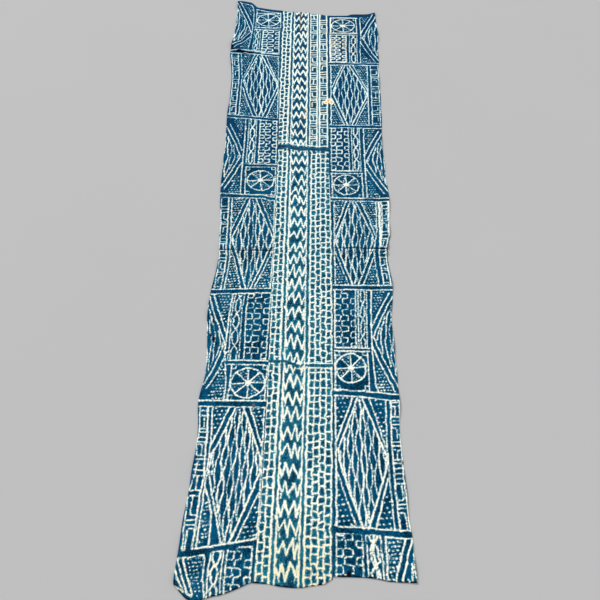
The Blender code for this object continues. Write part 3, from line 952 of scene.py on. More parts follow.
def centre_chart():
    """Charts the near and middle pieces of the centre strip: checkers, a zigzag and wide checkers."""
    chart = Chart(37, 1.07, 0.06)
    for low, high, shift, peaks, lean, tails in (
        (20.0, 501.0, 10.0, ZIGZAG_NEAR, -6.5, 0.7),
        (510.0, 1202.0, 10.0, ZIGZAG_MID, 0.0, 0.45),
    ):
        checkers(chart, 23.5, 47.0, 2, low + shift, min(high + shift, 1206.0), 19.2, 3.6, lean)
        chart.stroke(((57.5 + lean, low), (57.5, high)), 4.0)
        chart.stroke(((48.0 + lean, low), (48.0, high)), 4.2)
        zigzag(chart, 60.0, 101.0, peaks, 30.0, 4.5, lean, (low, high), tails)
        chart.stroke(((103.5 + lean, low), (103.5, high)), 4.0)
        chart.stroke(((113.5 + lean, low), (113.5, high)), 4.0)
        checkers(chart, 114.0, 165.0, 4, low, high, 18.9, 3.9, lean)
    chart.stroke(((92.0, 513.0), (165.0, 513.0)), 3.8)
    chart.stroke(((84.0, 500.0), (120.0, 501.5), (165.0, 501.0)), 3.8)
    # Dyed margins at the near join, widened to stand in for its painted shade as well
    chart.dye(((14.0, 516.5), (58.0, 515.5), (74.0, 511.0), (88.0, 504.0)), 8.0)
    chart.dye(((118.0, 507.0), (165.0, 507.0)), 6.0)
    return chart


def far_centre_chart():
    """Charts the far piece of the centre strip, whose stripes stand in another order."""
    chart = Chart(41, 1.0, 0.12)
    low, high = 1203.0, 1870.0
    checkers(chart, 20.0, 44.0, 2, low, high, 19.0, 4.6)
    chart.stroke(((47.0, low), (46.0, high)))
    chart.stroke(((55.5, low), (55.0, high)))
    peaks = [1250.0 + 38.6 * k for k in range(17)]
    zigzag(chart, 58.0, 97.0, peaks, 27.0, 5.0, 0.0, (low, high))
    chart.stroke(((99.0, low), (99.0, high)), 4.6)
    chart.stroke(((108.0, low), (107.0, high)), 4.6)
    ladder(chart, 109.0, 128.0, rung_run(1216.0, 1862.0), width=4.2)
    chart.stroke(((129.0, low), (129.0, high)), 5.2)
    chart.stroke(((136.5, low), (136.5, high)), 5.2)
    ladder(chart, 138.0, 157.0, rung_run(1222.0, 1852.0), width=4.2)
    chart.stroke(((159.0, low), (159.0, high)), 5.0)
    # Dyed margin at the far join, widened to stand in for its painted shade as well
    chart.dye(((14.0, 1220.0), (48.0, 1220.0), (62.0, 1213.0), (100.0, 1211.0), (165.0, 1208.0)), 22.0)
    chart.stroke(((20.0, 1236.0), (48.0, 1236.0), (60.0, 1228.0), (100.0, 1224.0), (158.0, 1221.0)))
    return chart


# Marks of wear and painted shade of folds, creases and joins, in millimetres: place across the chart and
# along, half widths, strength
RUST_LEFT = ((0.0, 592.0, 3.5, 5.0, 1.0), (123.5, 403.0, 4.0, 6.5, 1.0), (93.0, 410.0, 2.5, 2.5, 0.7))
RUST_RIGHT = ((151.0, 275.0, 3.0, 7.0, 0.9), (151.0, 242.0, 2.5, 5.0, 0.8))
RUST_AND_WRINKLE_SHADE_CENTRE = (
    (74.0, 1838.0, 3.4, 36.0, 1.0),
    (74.0, 1780.0, 2.8, 26.0, 0.9),
    # The last three are painted shade along the diagonal wrinkle, in the rust colour
    (77.0, 1315.0, 3.5, 14.0, 0.75),
    (85.0, 1342.0, 4.0, 15.0, 0.8),
    (93.0, 1368.0, 4.0, 15.0, 0.8),
)
SOIL_AND_SHADE_LEFT = (
    # The first five are painted shadow under the far tuck
    (1.0, 1668.0, 5.0, 6.0, 1.1),
    (10.0, 1657.5, 7.0, 4.2, 1.1),
    (24.0, 1647.5, 9.0, 3.6, 1.1),
    (40.0, 1641.5, 11.0, 3.2, 1.1),
    (58.0, 1639.5, 10.0, 3.2, 1.1),
    (98.0, 306.0, 3.5, 5.0, 0.7),
    # These two are painted shade at the near corner pleat
    (3.0, 24.0, 3.0, 6.0, 0.7),
    (13.0, 8.0, 4.0, 3.5, 0.8),
    (10.0, 585.0, 3.0, 6.0, 0.8),
    (17.0, 575.0, 4.0, 9.0, 0.8),
    (22.0, 562.0, 3.0, 5.0, 0.8),
    # Painted shade in the crease
    (76.0, 841.5, 200.0, 1.8, 0.85),
)
# The first is painted shade in the crease
SOIL_AND_SHADE_RIGHT = ((76.0, 852.5, 200.0, 1.7, 0.8), (30.0, 46.0, 5.0, 6.5, 0.9))
SOIL_AND_SHADE_CENTRE = (
    # Painted shade in the crease
    (94.0, 846.0, 90.0, 2.2, 0.42),
    (119.0, 1400.0, 8.0, 20.0, 0.42),
    # Painted shade at the near join
    (36.0, 515.0, 27.0, 4.0, 0.38),
    (70.0, 510.5, 14.0, 3.4, 0.38),
    (142.0, 507.0, 24.0, 2.4, 0.32),
    # Painted shade at the far join
    (34.0, 1218.0, 24.0, 8.0, 0.36),
    (72.0, 1211.0, 26.0, 6.5, 0.34),
    (118.0, 1208.0, 30.0, 6.0, 0.34),
    (150.0, 1206.0, 16.0, 5.0, 0.32),
)

# A tan spot with a pale rim over the right seam
SPOT_RIGHT = ((1.0, 1420.0, 6.0, 6.0, 1.0), (8.0, 1410.0, 5.0, 7.5, 1.0))
SPOT_CENTRE = ((155.0, 1409.0, 6.0, 5.0, 1.0), (162.0, 1418.0, 6.0, 6.5, 1.0))

# Where the undyed cotton is warmer than elsewhere at that place along
WARM_RIGHT = ((35.0, 1730.0, 65.0, 130.0, 1.5),)
WARM_CENTRE = (
    (115.0, 1580.0, 120.0, 420.0, 0.95),
    (95.0, 20.0, 90.0, 130.0, 0.6),
    (95.0, 600.0, 120.0, 400.0, 0.2),
)

# How yellow the undyed cotton is, 1 at most, or how cool, -1 at most: place along, warmth
WARMTH = (
    (0.0, 0.45),
    (80.0, 0.35),
    (200.0, 0.2),
    (420.0, 0.12),
    (700.0, 0.0),
    (1100.0, -0.25),
    (1500.0, -0.7),
    (1900.0, -0.9),
)


def blots(table, across, along):
    """Returns how strong the marks of a table are at each point."""
    total = np.zeros_like(across)
    for p, y, half_p, half_y, strength in table:
        away = ((across - p) / half_p) ** 2 + ((along - y) / half_y) ** 2
        total = np.maximum(total, strength * np.exp(-away))
    return total


# Grid pitch of the shorter centre pieces, as a share of the others'
CENTRE_GRID_SHARE = 0.76
# How far in from a seam the surface dips, and from an edge it is rounded, in millimetres
SEAM_DIP_REACH = 1.7
RIM_REACH = 1.8
# How far the darkening at an open end reaches in, and how large its patches are
END_DARKENING_REACH = 2.6
END_DARKENING_SIZE = 14.0
# Uneven surface: mean height, then size and height of the ripples and the creases
RELIEF_HEIGHT = 0.32
RIPPLE_SIZE = 46.0
RIPPLE_HEIGHT = 0.24
CREASE_SIZE = 17.0
CREASE_HEIGHT = 0.16
# Puckers along a seam: their pitch, over what length it drifts, how high they are and how far they reach
PUCKER_PITCH = 12.5
PUCKER_DRIFT = 60.0
PUCKER_HEIGHT = 0.35
PUCKER_REACH = 5.0
# How far the tied strokes waver, and over what length, across and along
WAVER = (0.8, 1.0)
WAVER_SIZE = (34.0, 40.0)
# Baked picture: margin round each band, and the bands that each side is cut into
UV_MARGIN = 4.0
UV_BANDS = 3
# Stands for the distance from a seam on a sheet that has none there
NO_SEAM = 1e3
# More points than any sheet has
POINTS_AT_MOST = 1e6


def steps_between(start, end, pitch, edge=(0.0, 0.7, 1.8)):
    """Returns even places from start to end, with closer ones at both edges."""
    near = [start + step for step in edge]
    far = [end - step for step in reversed(edge)]
    count = max(int(round((far[0] - near[-1]) / pitch)), 2)
    middle = [near[-1] + (far[0] - near[-1]) * k / count for k in range(1, count)]
    return np.array(near + middle + far)


class Layout:
    """Where every point of one straight grid lies on the cloth, in millimetres."""

    def __init__(self, sides, ends, folds, waves, gaps, pitch):
        left_side, right_side = sides
        near_end, far_end = ends
        near_middle = read_line(near_end, 0.5) + gaps[0]
        far_middle = read_line(far_end, 0.5) - gaps[1]
        self.columns = steps_between(0.0, STRIP_WIDTH, pitch) / STRIP_WIDTH
        self.rows = steps_between(near_middle, far_middle, pitch)
        share, down = np.meshgrid(self.columns, self.rows)
        near_pull = 1.0 - np.minimum((down - near_middle) / END_REACH, 1.0)
        far_pull = 1.0 - np.minimum((far_middle - down) / END_REACH, 1.0)
        near_shift = read_line(near_end, share) + gaps[0] - near_middle
        far_shift = read_line(far_end, share) - gaps[1] - far_middle
        self.down = down - near_middle
        self.length = far_middle - near_middle
        self.along = down + near_shift * near_pull**2 + far_shift * far_pull**2
        sewn_left, sewn_right = left_side != LEFT_SELVEDGE, right_side != RIGHT_SELVEDGE
        left = side_line(left_side, self.along) + (PIECE_GAP / 2.0 if sewn_left else 0.0)
        right = side_line(right_side, self.along) - (PIECE_GAP / 2.0 if sewn_right else 0.0)
        self.width = right - left
        self.x = left + self.width * share
        from_left, from_right = self.x - left, right - self.x
        from_selvedge = from_right if sewn_left else from_left
        waved = wave_lift(waves, from_selvedge, self.along)
        self.lift = np.maximum(fold_lift(folds, self.x, self.along), waved)
        self.from_seam = np.full_like(self.x, NO_SEAM)
        if sewn_left:
            self.from_seam = np.minimum(self.from_seam, from_left)
        if sewn_right:
            self.from_seam = np.minimum(self.from_seam, from_right)
        self.from_edge = np.minimum(
            np.minimum(from_left, from_right), np.minimum(self.down, self.length - self.down)
        )


def relief(layout, seed):
    """Returns the small unevenness of cloth that was tied, dyed, sewn and folded, in millimetres."""
    ripple = soft_noise(layout.x, layout.along * 0.7, RIPPLE_SIZE, seed, 2)
    creased = soft_noise(layout.x * 0.35, layout.along, CREASE_SIZE, seed + 1, 2)
    drift = soft_noise(layout.along, layout.along, PUCKER_DRIFT, seed + 2)
    pucker = np.sin(layout.along * math.tau / PUCKER_PITCH + 1.5 * drift)
    near_seam = np.exp(-layout.from_seam / PUCKER_REACH)
    uneven = np.maximum(RELIEF_HEIGHT + RIPPLE_HEIGHT * ripple + CREASE_HEIGHT * creased, 0.0)
    return uneven + near_seam * (PUCKER_HEIGHT + PUCKER_HEIGHT * pucker)


def chart_place(piece, layout):
    """Returns each point's place across its strip's chart."""
    if piece == "left":
        edge = read_line(CHART_SEAMS, layout.along, 1)
        left = read_line(SIDE_LINES, layout.along, LEFT_SELVEDGE)
        return STRIP_WIDTH * (layout.x - left) / (edge - left)
    if piece == "right":
        edge = read_line(CHART_SEAMS, layout.along, 2)
        right = read_line(SIDE_LINES, layout.along, RIGHT_SELVEDGE)
        return STRIP_WIDTH * (layout.x - edge) / (right - edge)
    return layout.x + CENTRE_CHART_START


def place_in_order(part):
    """Returns a number that sorts a sheet's edges or faces by their points."""
    points = [vert.index for vert in part.verts]
    return min(points) * 4.0 * POINTS_AT_MOST + sum(points)


def closed_sheet(name, columns, rows):
    """Makes a closed sheet of two straight grids, one a unit above the other, joined at the rim."""
    sheet = bmesh.new()
    bmesh.ops.create_grid(sheet, x_segments=len(columns) - 1, y_segments=len(rows) - 1, size=0.5)
    raised = bmesh.ops.extrude_face_region(sheet, geom=sheet.faces[:])
    top = [part for part in raised["geom"] if isinstance(part, bmesh.types.BMVert)]
    bmesh.ops.translate(sheet, vec=(0.0, 0.0, 1.0), verts=top)
    # The rim is joined in an order that differs from run to run, so its parts are sorted
    sheet.verts.index_update()
    sheet.edges.sort(key=place_in_order)
    sheet.faces.sort(key=place_in_order)
    bmesh.ops.recalc_face_normals(sheet, faces=sheet.faces[:])
    mesh = bpy.data.meshes.new(name)
    sheet.to_mesh(mesh)
    sheet.free()
    return mesh


def add_values(mesh, name, values):
    """Stores one number for each point of the mesh."""
    mesh.attributes.new(name, "FLOAT", "POINT").data.foreach_set("value", values.astype(np.float32))


def add_bake_map(mesh, row, column, on_top, layout):
    """Lays the long sheet out for baking: both sides cut into bands that stand side by side."""
    loop_vertex = np.zeros(len(mesh.loops), dtype=np.int64)
    mesh.loops.foreach_get("vertex_index", loop_vertex)
    sides = np.zeros(len(mesh.polygons), dtype=np.int64)
    mesh.polygons.foreach_get("loop_total", sides)
    face = np.repeat(np.arange(len(sides)), sides)
    count = np.bincount(face)
    middle_row = np.bincount(face, row[loop_vertex]) / count
    middle_top = np.bincount(face, on_top[loop_vertex]) / count
    last_row = len(layout.rows) - 1
    band = np.minimum((middle_row * UV_BANDS / last_row).astype(int), UV_BANDS - 1)
    underneath = middle_top < 0.25
    on_rim = ((middle_top > 0.25) & (middle_top < 0.75))[face]
    along = (layout.rows - layout.rows[0])[row[loop_vertex]]
    across = (layout.columns * STRIP_WIDTH)[column[loop_vertex]]
    drop = np.where(on_rim & (on_top[loop_vertex] < 0.5), UV_MARGIN * 0.5, 0.0)
    across = across + drop * np.where(column[loop_vertex] == 0, -1.0, 0.0)
    across = across + drop * np.where(column[loop_vertex] == len(layout.columns) - 1, 1.0, 0.0)
    along = along + drop * np.where(row[loop_vertex] == 0, -1.0, 0.0)
    along = along + drop * np.where(row[loop_vertex] == last_row, 1.0, 0.0)
    length = layout.length / UV_BANDS
    slot_width = STRIP_WIDTH + 2.0 * UV_MARGIN
    place = band[face] + UV_BANDS * underneath[face]
    u = (place * slot_width + UV_MARGIN + across) / (slot_width * UV_BANDS * 2)
    v = (along - band[face] * length + UV_MARGIN) / (length + 4.0 * UV_MARGIN)
    baked = mesh.uv_layers.new(name="OFBake")
    baked.uv.foreach_set("vector", np.column_stack([u, v]).astype(np.float32).ravel())


def lay_cloth(name, node, slot, piece, sides, ends, folds, waves, gaps, chart, marks, seed):
    sizes = bpy.context.scene.ndop_sizes
    pitch = sizes.grid_pitch / MM * (CENTRE_GRID_SHARE if piece == "centre" else 1.0)
    layout = Layout(sides, ends, folds, waves, gaps, pitch)
    mesh = closed_sheet(name, layout.columns, layout.rows)
    places = np.zeros(len(mesh.vertices) * 3)
    mesh.vertices.foreach_get("co", places)
    places = places.reshape(-1, 3)
    column = np.rint((places[:, 0] + 0.5) * (len(layout.columns) - 1)).astype(int)
    row = np.rint((places[:, 1] + 0.5) * (len(layout.rows) - 1)).astype(int)
    on_top = (places[:, 2] > 0.5).astype(float)

    thickness = sizes.thickness / MM
    rounding = 0.5 + 0.5 * np.sqrt(np.clip(layout.from_edge / RIM_REACH, 0.0, 1.0))
    dip = 1.0 - 0.5 * np.exp(-((layout.from_seam / SEAM_DIP_REACH) ** 2))
    uneven = relief(layout, seed)
    top = layout.lift + thickness * rounding * dip + uneven
    bottom = layout.lift + np.minimum(uneven * 0.3, 0.25) * np.minimum(layout.lift, 1.0)
    x = (layout.x - CENTRE_X)[row, column]
    y = (layout.along - CENTRE_Y)[row, column]
    z = np.where(on_top > 0.5, top[row, column], bottom[row, column])
    mesh.vertices.foreach_set("co", (np.column_stack([x, y, z]) * MM).ravel())
    mesh.update()

    across = chart_place(piece, layout)
    waver_across = WAVER[0] * soft_noise(layout.x, layout.along, WAVER_SIZE[0], seed + 5, 2)
    waver_along = WAVER[1] * soft_noise(layout.x, layout.along, WAVER_SIZE[1], seed + 6, 2)
    resist = chart.distances(across + waver_across, layout.along + waver_along)
    add_values(mesh, "resist", resist[row, column])
    rust_and_shade, soil_and_shade, spot, warm = marks
    add_values(mesh, "spot", blots(spot, across, layout.along)[row, column])
    add_values(mesh, "rust_and_shade", blots(rust_and_shade, across, layout.along)[row, column])
    # Darker in patches along the open ends
    end_darkening = np.zeros_like(across)
    for gap, from_end in zip(gaps, (layout.down, layout.length - layout.down)):
        if gap == 0.0:
            end_darkening = np.maximum(end_darkening, np.exp(-((from_end / END_DARKENING_REACH) ** 2)))
    end_darkening = end_darkening * (0.5 + 0.6 * soft_noise(layout.x, layout.along, END_DARKENING_SIZE, seed + 7))
    add_values(mesh, "soil_and_shade", np.maximum(blots(soil_and_shade, across, layout.along), end_darkening)[row, column])
    warmth = read_line(WARMTH, layout.along)
    add_values(mesh, "cool", np.maximum(-warmth, 0.0)[row, column])
    warmth = warmth + blots(warm, across, layout.along)
    add_values(mesh, "warmth", warmth[row, column])
    place = mesh.attributes.new("cloth_place", "FLOAT_VECTOR", "POINT")
    flat = np.column_stack([layout.x[row, column], layout.along[row, column], on_top * 3.0]) * MM
    place.data.foreach_set("vector", flat.astype(np.float32).ravel())
    add_bake_map(mesh, row, column, on_top, layout)

    mesh.shade_smooth()
    mesh.materials.append(dyed_cotton(name + "_dyed", DYES[slot]))
    cloth = bpy.data.objects.new(name, mesh)
    bpy.context.scene.collection.objects.link(cloth)
    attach(cloth, "root")
    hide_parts(node)


class Wire:
    """A shader socket that can be used in sums."""

    def __init__(self, cotton, socket):
        self.cotton = cotton
        self.socket = socket

    def calculate(self, operation, first, second):
        """Adds one Math node."""
        return self.cotton.node("ShaderNodeMath", {"operation": operation}, {0: first, 1: second})

    def __add__(self, other):
        return self.calculate("ADD", self, other)

    def __sub__(self, other):
        return self.calculate("SUBTRACT", self, other)

    def __rsub__(self, other):
        return self.calculate("SUBTRACT", other, self)

    def __mul__(self, other):
        return self.calculate("MULTIPLY", self, other)

    def sine(self):
        """Returns the sine of the value."""
        return self.cotton.node("ShaderNodeMath", {"operation": "SINE"}, {0: self})


class Finish:
    """The material of one piece, built from expressions."""

    def __init__(self, name):
        self.material = bpy.data.materials.new(name)
        self.material.use_nodes = True
        self.tree = self.material.node_tree
        self.shader = self.tree.nodes["Principled BSDF"]

    def node(self, kind, settings=None, values=None, result=0):
        """Adds a node: its settings first, then the values or links of its sockets."""
        made = self.tree.nodes.new(kind)
        for key, value in (settings or {}).items():
            setattr(made, key, value)
        for key, value in (values or {}).items():
            self.feed(made.inputs[key], value)
        return Wire(self, made.outputs[result])

    def feed(self, socket, value):
        """Links a wire to a socket, or sets its value."""
        if isinstance(value, Wire):
            self.tree.links.new(value.socket, socket)
        else:
            socket.default_value = value

    def value(self, name):
        """Reads one of the mesh's stored numbers."""
        return self.node("ShaderNodeAttribute", {"attribute_name": name}, result="Fac")

    def place(self, name):
        """Reads one of the mesh's stored places."""
        return self.node("ShaderNodeAttribute", {"attribute_name": name}, result="Vector")

    def stretched(self, place, scale):
        """Scales a place by a different number along each axis."""
        return self.node("ShaderNodeVectorMath", {"operation": "MULTIPLY"}, {0: place, 1: scale})

    def noise(self, place, scale, detail=2.0, roughness=0.5):
        """Returns soft noise between 0 and 1."""
        values = {"Vector": place, "Scale": scale, "Detail": detail, "Roughness": roughness}
        return self.node("ShaderNodeTexNoise", {}, values, "Fac")

    def ramp(self, value, low, high, to_low=0.0, to_high=1.0):
        """Runs a value smoothly from one range to another."""
        values = {"Value": value, "From Min": low, "From Max": high, "To Min": to_low, "To Max": to_high}
        return self.node("ShaderNodeMapRange", {"interpolation_type": "SMOOTHSTEP"}, values)

    def blend(self, share, first, second, way="MIX"):
        """Mixes two colours."""
        values = {0: share, 6: self.colour(first), 7: self.colour(second)}
        return self.node("ShaderNodeMix", {"data_type": "RGBA", "blend_type": way}, values, 2)

    def colour(self, value):
        """Gives a plain colour its fourth number."""
        return value if isinstance(value, Wire) else (*value, 1.0)

    def bump(self, height, distance, strength=1.0):
        """Returns a normal bent by a height between 0 and 1."""
        values = {"Height": height, "Distance": distance, "Strength": strength}
        return self.node("ShaderNodeBump", {}, values)

    def apply(self, **values):
        """Feeds the surface's own sockets."""
        for key, value in values.items():
            self.feed(self.shader.inputs[key.replace("_", " ")], value)
        return self.material


# Deep, worn, thin and palest dye of each finish, how much the palest shows, and how washed out the dye is
DYES = {
    "indigo_cotton": (
        screen_colour(0, 22, 48),
        screen_colour(0, 74, 111),
        screen_colour(10, 118, 144),
        screen_colour(36, 138, 166),
        0.6,
        0.0,
    ),
    "faded_indigo_cotton": (
        screen_colour(0, 40, 66),
        screen_colour(2, 84, 115),
        screen_colour(36, 132, 152),
        screen_colour(96, 172, 186),
        0.75,
        0.8,
    ),
    "pale_indigo_cotton": (
        screen_colour(0, 40, 66),
        screen_colour(6, 88, 119),
        screen_colour(44, 136, 156),
        screen_colour(104, 174, 190),
        0.8,
        0.4,
    ),
}
# Between these distances from a stroke's edge, in millimetres, the pale fringe turns into full dye outwards
# and into undyed cotton inwards
FRINGE = (0.25, 0.75)
# How far dye creeps over a stroke's edge, in small blots and along single threads
CREEP = 7.0
THREAD_CREEP = 4.2
# Noise of the cotton: patches per metre, detail, roughness
CREEP_NOISE = (230.0, 4.0, 0.7)
THREAD_NOISE = (620.0, 1.0)
CLOUD_NOISE = (13.0, 3.0, 0.6)
MOTTLE_NOISE = (105.0, 5.0, 0.75)
GRAIN_NOISE = (380.0, 2.0, 0.6)
RUB_NOISE = (310.0, 3.0, 0.75)
DRIFT_NOISE = (34.0, 3.0, 0.6)
SLUB_NOISE = (420.0, 2.0)
SEEP_NOISE = (210.0, 4.0, 0.75)
SPECK_NOISE = (330.0, 2.0, 0.7)
WANDER_NOISE = (60.0, 2.0)
PLY_NOISE = (900.0, 2.0)
CREAM = screen_colour(248, 252, 242)
TAN = screen_colour(230, 230, 210)
WARM_CREAM = screen_colour(242, 232, 194)
COOL_CREAM = screen_colour(232, 252, 250)
FAR_INDIGO = screen_colour(0, 46, 88)
RUST_AND_SHADE = screen_colour(106, 92, 74)
SOOT_AND_SHADE = screen_colour(6, 14, 26)
PALE_SPOT = screen_colour(255, 250, 235)
TAN_SPOT = screen_colour(245, 190, 112)
THREAD_PITCH = 1.05 * MM


def dyed_cotton(name, dyes):
    """Makes hand-woven cotton whose dye stops at the strokes, thread by thread."""
    deep, worn, thin, light, rub, wash = dyes
    cotton = Finish(name)
    place = cotton.place("cloth_place")

    # The edge of the dye follows single threads and small creeps of dye
    creep = cotton.noise(place, *CREEP_NOISE) - 0.5
    threads = cotton.noise(cotton.stretched(place, (1.0, 1.6, 1.0)), *THREAD_NOISE) - 0.5
    clear = cotton.ramp(cotton.value("cool"), 0.1, 0.8, 1.0, 0.62)
    edge = cotton.value("resist") + (creep * CREEP + threads * THREAD_CREEP) * clear
    dyed = cotton.ramp(edge, FRINGE[0], FRINGE[1])
    fringe = cotton.ramp(edge, -FRINGE[1], -FRINGE[0])

    # Indigo: large clouds from the dye bath, small mottling, and wear on the raised threads
    clouds = cotton.noise(place, *CLOUD_NOISE)
    mottle = cotton.noise(cotton.stretched(place, (1.0, 0.6, 1.0)), *MOTTLE_NOISE)
    grain = cotton.noise(place, *GRAIN_NOISE)
    depth = cotton.ramp(clouds * 0.35 + mottle * 0.35 + grain * 0.3, 0.42, 0.57)
    indigo = cotton.blend(depth, deep, worn)
    indigo = cotton.blend(cotton.ramp(cotton.value("cool"), 0.0, 0.7) * 0.75, indigo, FAR_INDIGO)
    rubbed = cotton.ramp(cotton.noise(place, *RUB_NOISE), 0.52, 0.67)
    indigo = cotton.blend(rubbed * clear * rub, indigo, light)

    # Where the cloth was washed out, the dye is thin beside the strokes and deep away from them
    drift = cotton.noise(place, *DRIFT_NOISE)
    beside = cotton.ramp(cotton.value("resist"), 0.5, 4.5, 1.0, 0.0)
    washed = cotton.ramp(drift, 0.42, 0.66) * beside * wash
    indigo = cotton.blend(washed, indigo, thin)
    away = cotton.ramp(cotton.value("resist"), 2.0, 6.0)
    pooled = cotton.ramp(drift, 0.6, 0.4) * away * wash
    indigo = cotton.blend(pooled, indigo, deep)

    # Undyed cotton: cream with tan threads, and a little blue where dye seeped in
    slub = cotton.noise(cotton.stretched(place, (0.25, 1.0, 1.0)), *SLUB_NOISE)
    cream = cotton.blend(cotton.ramp(slub, 0.4, 0.75), CREAM, TAN)
    warmth = cotton.value("warmth")
    cream = cotton.blend(cotton.ramp(warmth, 0.0, 1.0), cream, WARM_CREAM)
    cream = cotton.blend(cotton.ramp(warmth, -0.05, -1.0), cream, COOL_CREAM)
    seeped = cotton.ramp(cotton.noise(place, *SEEP_NOISE), 0.52, 0.7) * 0.55
    cream = cotton.blend(seeped * clear, cream, light)

    # Between the two, a fringe where the dye stayed thin
    colour = cotton.blend(fringe, cream, thin)
    colour = cotton.blend(dyed, colour, indigo)

    # Marks of wear, painted shade of folds, creases and joins, and darkening at the open ends, broken up by
    # fine specks
    speck = cotton.noise(place, *SPECK_NOISE)
    rust_and_shade = cotton.ramp(cotton.value("rust_and_shade") + (speck - 0.5) * 0.7, 0.3, 0.75)
    colour = cotton.blend(rust_and_shade, colour, RUST_AND_SHADE)
    soil_and_shade = cotton.ramp(cotton.value("soil_and_shade") + (speck - 0.5) * 0.25, 0.15, 0.6)
    colour = cotton.blend(soil_and_shade, colour, SOOT_AND_SHADE)
    spot = cotton.value("spot") + (speck - 0.5) * 0.2
    colour = cotton.blend(cotton.ramp(spot, 0.12, 0.22), colour, PALE_SPOT)
    colour = cotton.blend(cotton.ramp(spot, 0.45, 0.65), colour, TAN_SPOT)

    # Plain weave: threads over and under each other, uneven as hand-spun ones are
    parts = cotton.node("ShaderNodeSeparateXYZ", {}, {0: place}).socket.node
    across = Wire(cotton, parts.outputs[0])
    along = Wire(cotton, parts.outputs[1])
    wander = cotton.noise(place, *WANDER_NOISE) * 3.0
    warp = (across * (math.tau / THREAD_PITCH) + wander).sine()
    weft = (along * (math.tau / THREAD_PITCH) + wander).sine()
    weave = warp * weft * 0.5 + 0.5
    height = weave * 0.5 + slub * 0.5 + (1.0 - dyed) * 0.5
    shade = cotton.ramp(weave, 0.0, 1.0, 0.92, 1.08)
    shades = cotton.node("ShaderNodeCombineColor", {}, {0: shade, 1: shade, 2: shade})
    colour = cotton.blend(1.0, colour, shades, "MULTIPLY")
    return cotton.apply(
        Specular_IOR_Level=0.03,
        Base_Color=colour,
        Roughness=cotton.ramp(dyed + mottle * 0.4, 0.0, 1.4, 0.96, 0.86),
        Normal=cotton.bump(height, 0.35 * MM, 0.8),
    )


def sewing_thread(name, colour, shadow):
    """Makes the spun thread of a seam."""
    thread = Finish(name)
    ply = thread.noise(thread.node("ShaderNodeTexCoord", {}, {}, "Object"), *PLY_NOISE)
    return thread.apply(
        Base_Color=thread.blend(ply, shadow, colour),
        Roughness=thread.ramp(ply, 0.2, 0.8, 0.95, 0.8),
        Normal=thread.bump(ply, 0.2 * MM, 0.7),
    )


def top_height(x, along):
    """Returns the height of the sewn cloth's surface at a point on a seam or join."""
    x, along = np.array([x]), np.array([along])
    lift = np.zeros(1)
    for folds in (FOLDS_LEFT, FOLDS_RIGHT, FOLDS_CENTRE):
        lift = np.maximum(lift, fold_lift(folds, x, along))
    return float(lift[0])


# A stitch's height over the folds: share of the cloth's thickness, and millimetres more
STITCH_HEIGHT = (0.62, 0.25)


def sew(name, path, pitch, length, radius, colour, shadow, seed, keep=1.0, slant=0.35):
    """Makes a row of small stitches over a line. path holds x and place along of the line's points."""
    hand = random.Random(seed)
    thickness = bpy.context.scene.ndop_sizes.thickness / MM
    stitches = bmesh.new()
    for (x0, y0), (x1, y1) in zip(path[:-1], path[1:]):
        run = math.hypot(x1 - x0, y1 - y0)
        turn = math.atan2(y1 - y0, x1 - x0)
        count = max(int(run / pitch), 1)
        for step in range(count):
            if hand.random() > keep:
                continue
            share = (step + hand.uniform(0.25, 0.75)) / count
            x, y = x0 + (x1 - x0) * share, y0 + (y1 - y0) * share
            z = top_height(x, y) + thickness * STITCH_HEIGHT[0] + STITCH_HEIGHT[1]
            made = bmesh.ops.create_icosphere(stitches, subdivisions=1, radius=1.0)
            lay = Matrix.Translation(Vector((x - CENTRE_X, y - CENTRE_Y, z)) * MM)
            lay = lay @ Matrix.Rotation(turn + math.pi / 2.0 + slant + hand.gauss(0.0, 0.12), 4, "Z")
            size = (length * hand.uniform(0.42, 0.56), radius * hand.uniform(0.85, 1.15), radius * 0.9)
            lay = lay @ Matrix.Diagonal((*(value * MM for value in size), 1.0))
            bmesh.ops.transform(stitches, matrix=lay, verts=made["verts"])
    bmesh.ops.recalc_face_normals(stitches, faces=stitches.faces[:])
    mesh = bpy.data.meshes.new(name)
    stitches.to_mesh(mesh)
    stitches.free()
    mesh.shade_smooth()
    mesh.materials.append(sewing_thread(name + "_thread", colour, shadow))
    row = bpy.data.objects.new(name, mesh)
    bpy.context.scene.collection.objects.link(row)
    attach(row, "root")


def seam_path(side, low, high, step=20.0):
    """Returns points along a long seam."""
    count = int((high - low) / step)
    places = [low + (high - low) * k / count for k in range(count + 1)]
    return [(float(side_line(side, y)), y) for y in places]


def join_path(join):
    """Returns points along a join across the centre strip."""
    path = []
    for k in range(9):
        share = 0.04 + 0.92 * k / 8
        y = float(read_line(join, share))
        left, right = float(side_line(LEFT_SEAM, y)), float(side_line(RIGHT_SEAM, y))
        path.append((left + (right - left) * share, y))
    return path


# The picture's frame is 600 pixels wide. The vanishing point of the strips is given in pixels
# to the right of and above its middle.
PICTURE_PIXELS = 600.0
FOCAL_PIXELS = 780.0
VANISHING_POINT = (21.0, 1060.0)
CAMERA_X = 13.0
CAMERA_ALONG = -413.0
CAMERA_HEIGHT = 1.5
SENSOR = 36.0
# Floor: half its width, and how far it lies under the cloth, in metres
FLOOR_HALF = 4.0
FLOOR_DROP = 0.0002
# Low soft light: where it shines from, and how wide it looks in degrees
KEY_PLACE = (-1.3, 2.1, 1.5)
KEY_WIDTH = 14.0


def length_property(name, description, millimetres):
    """Returns a length that a user can change."""
    return FloatProperty(name=name, description=description, default=millimetres * MM, unit="LENGTH")


def strength_property(name, description, strength):
    """Returns a light's strength that a user can change."""
    return FloatProperty(name=name, description=description, default=strength, min=0.0)


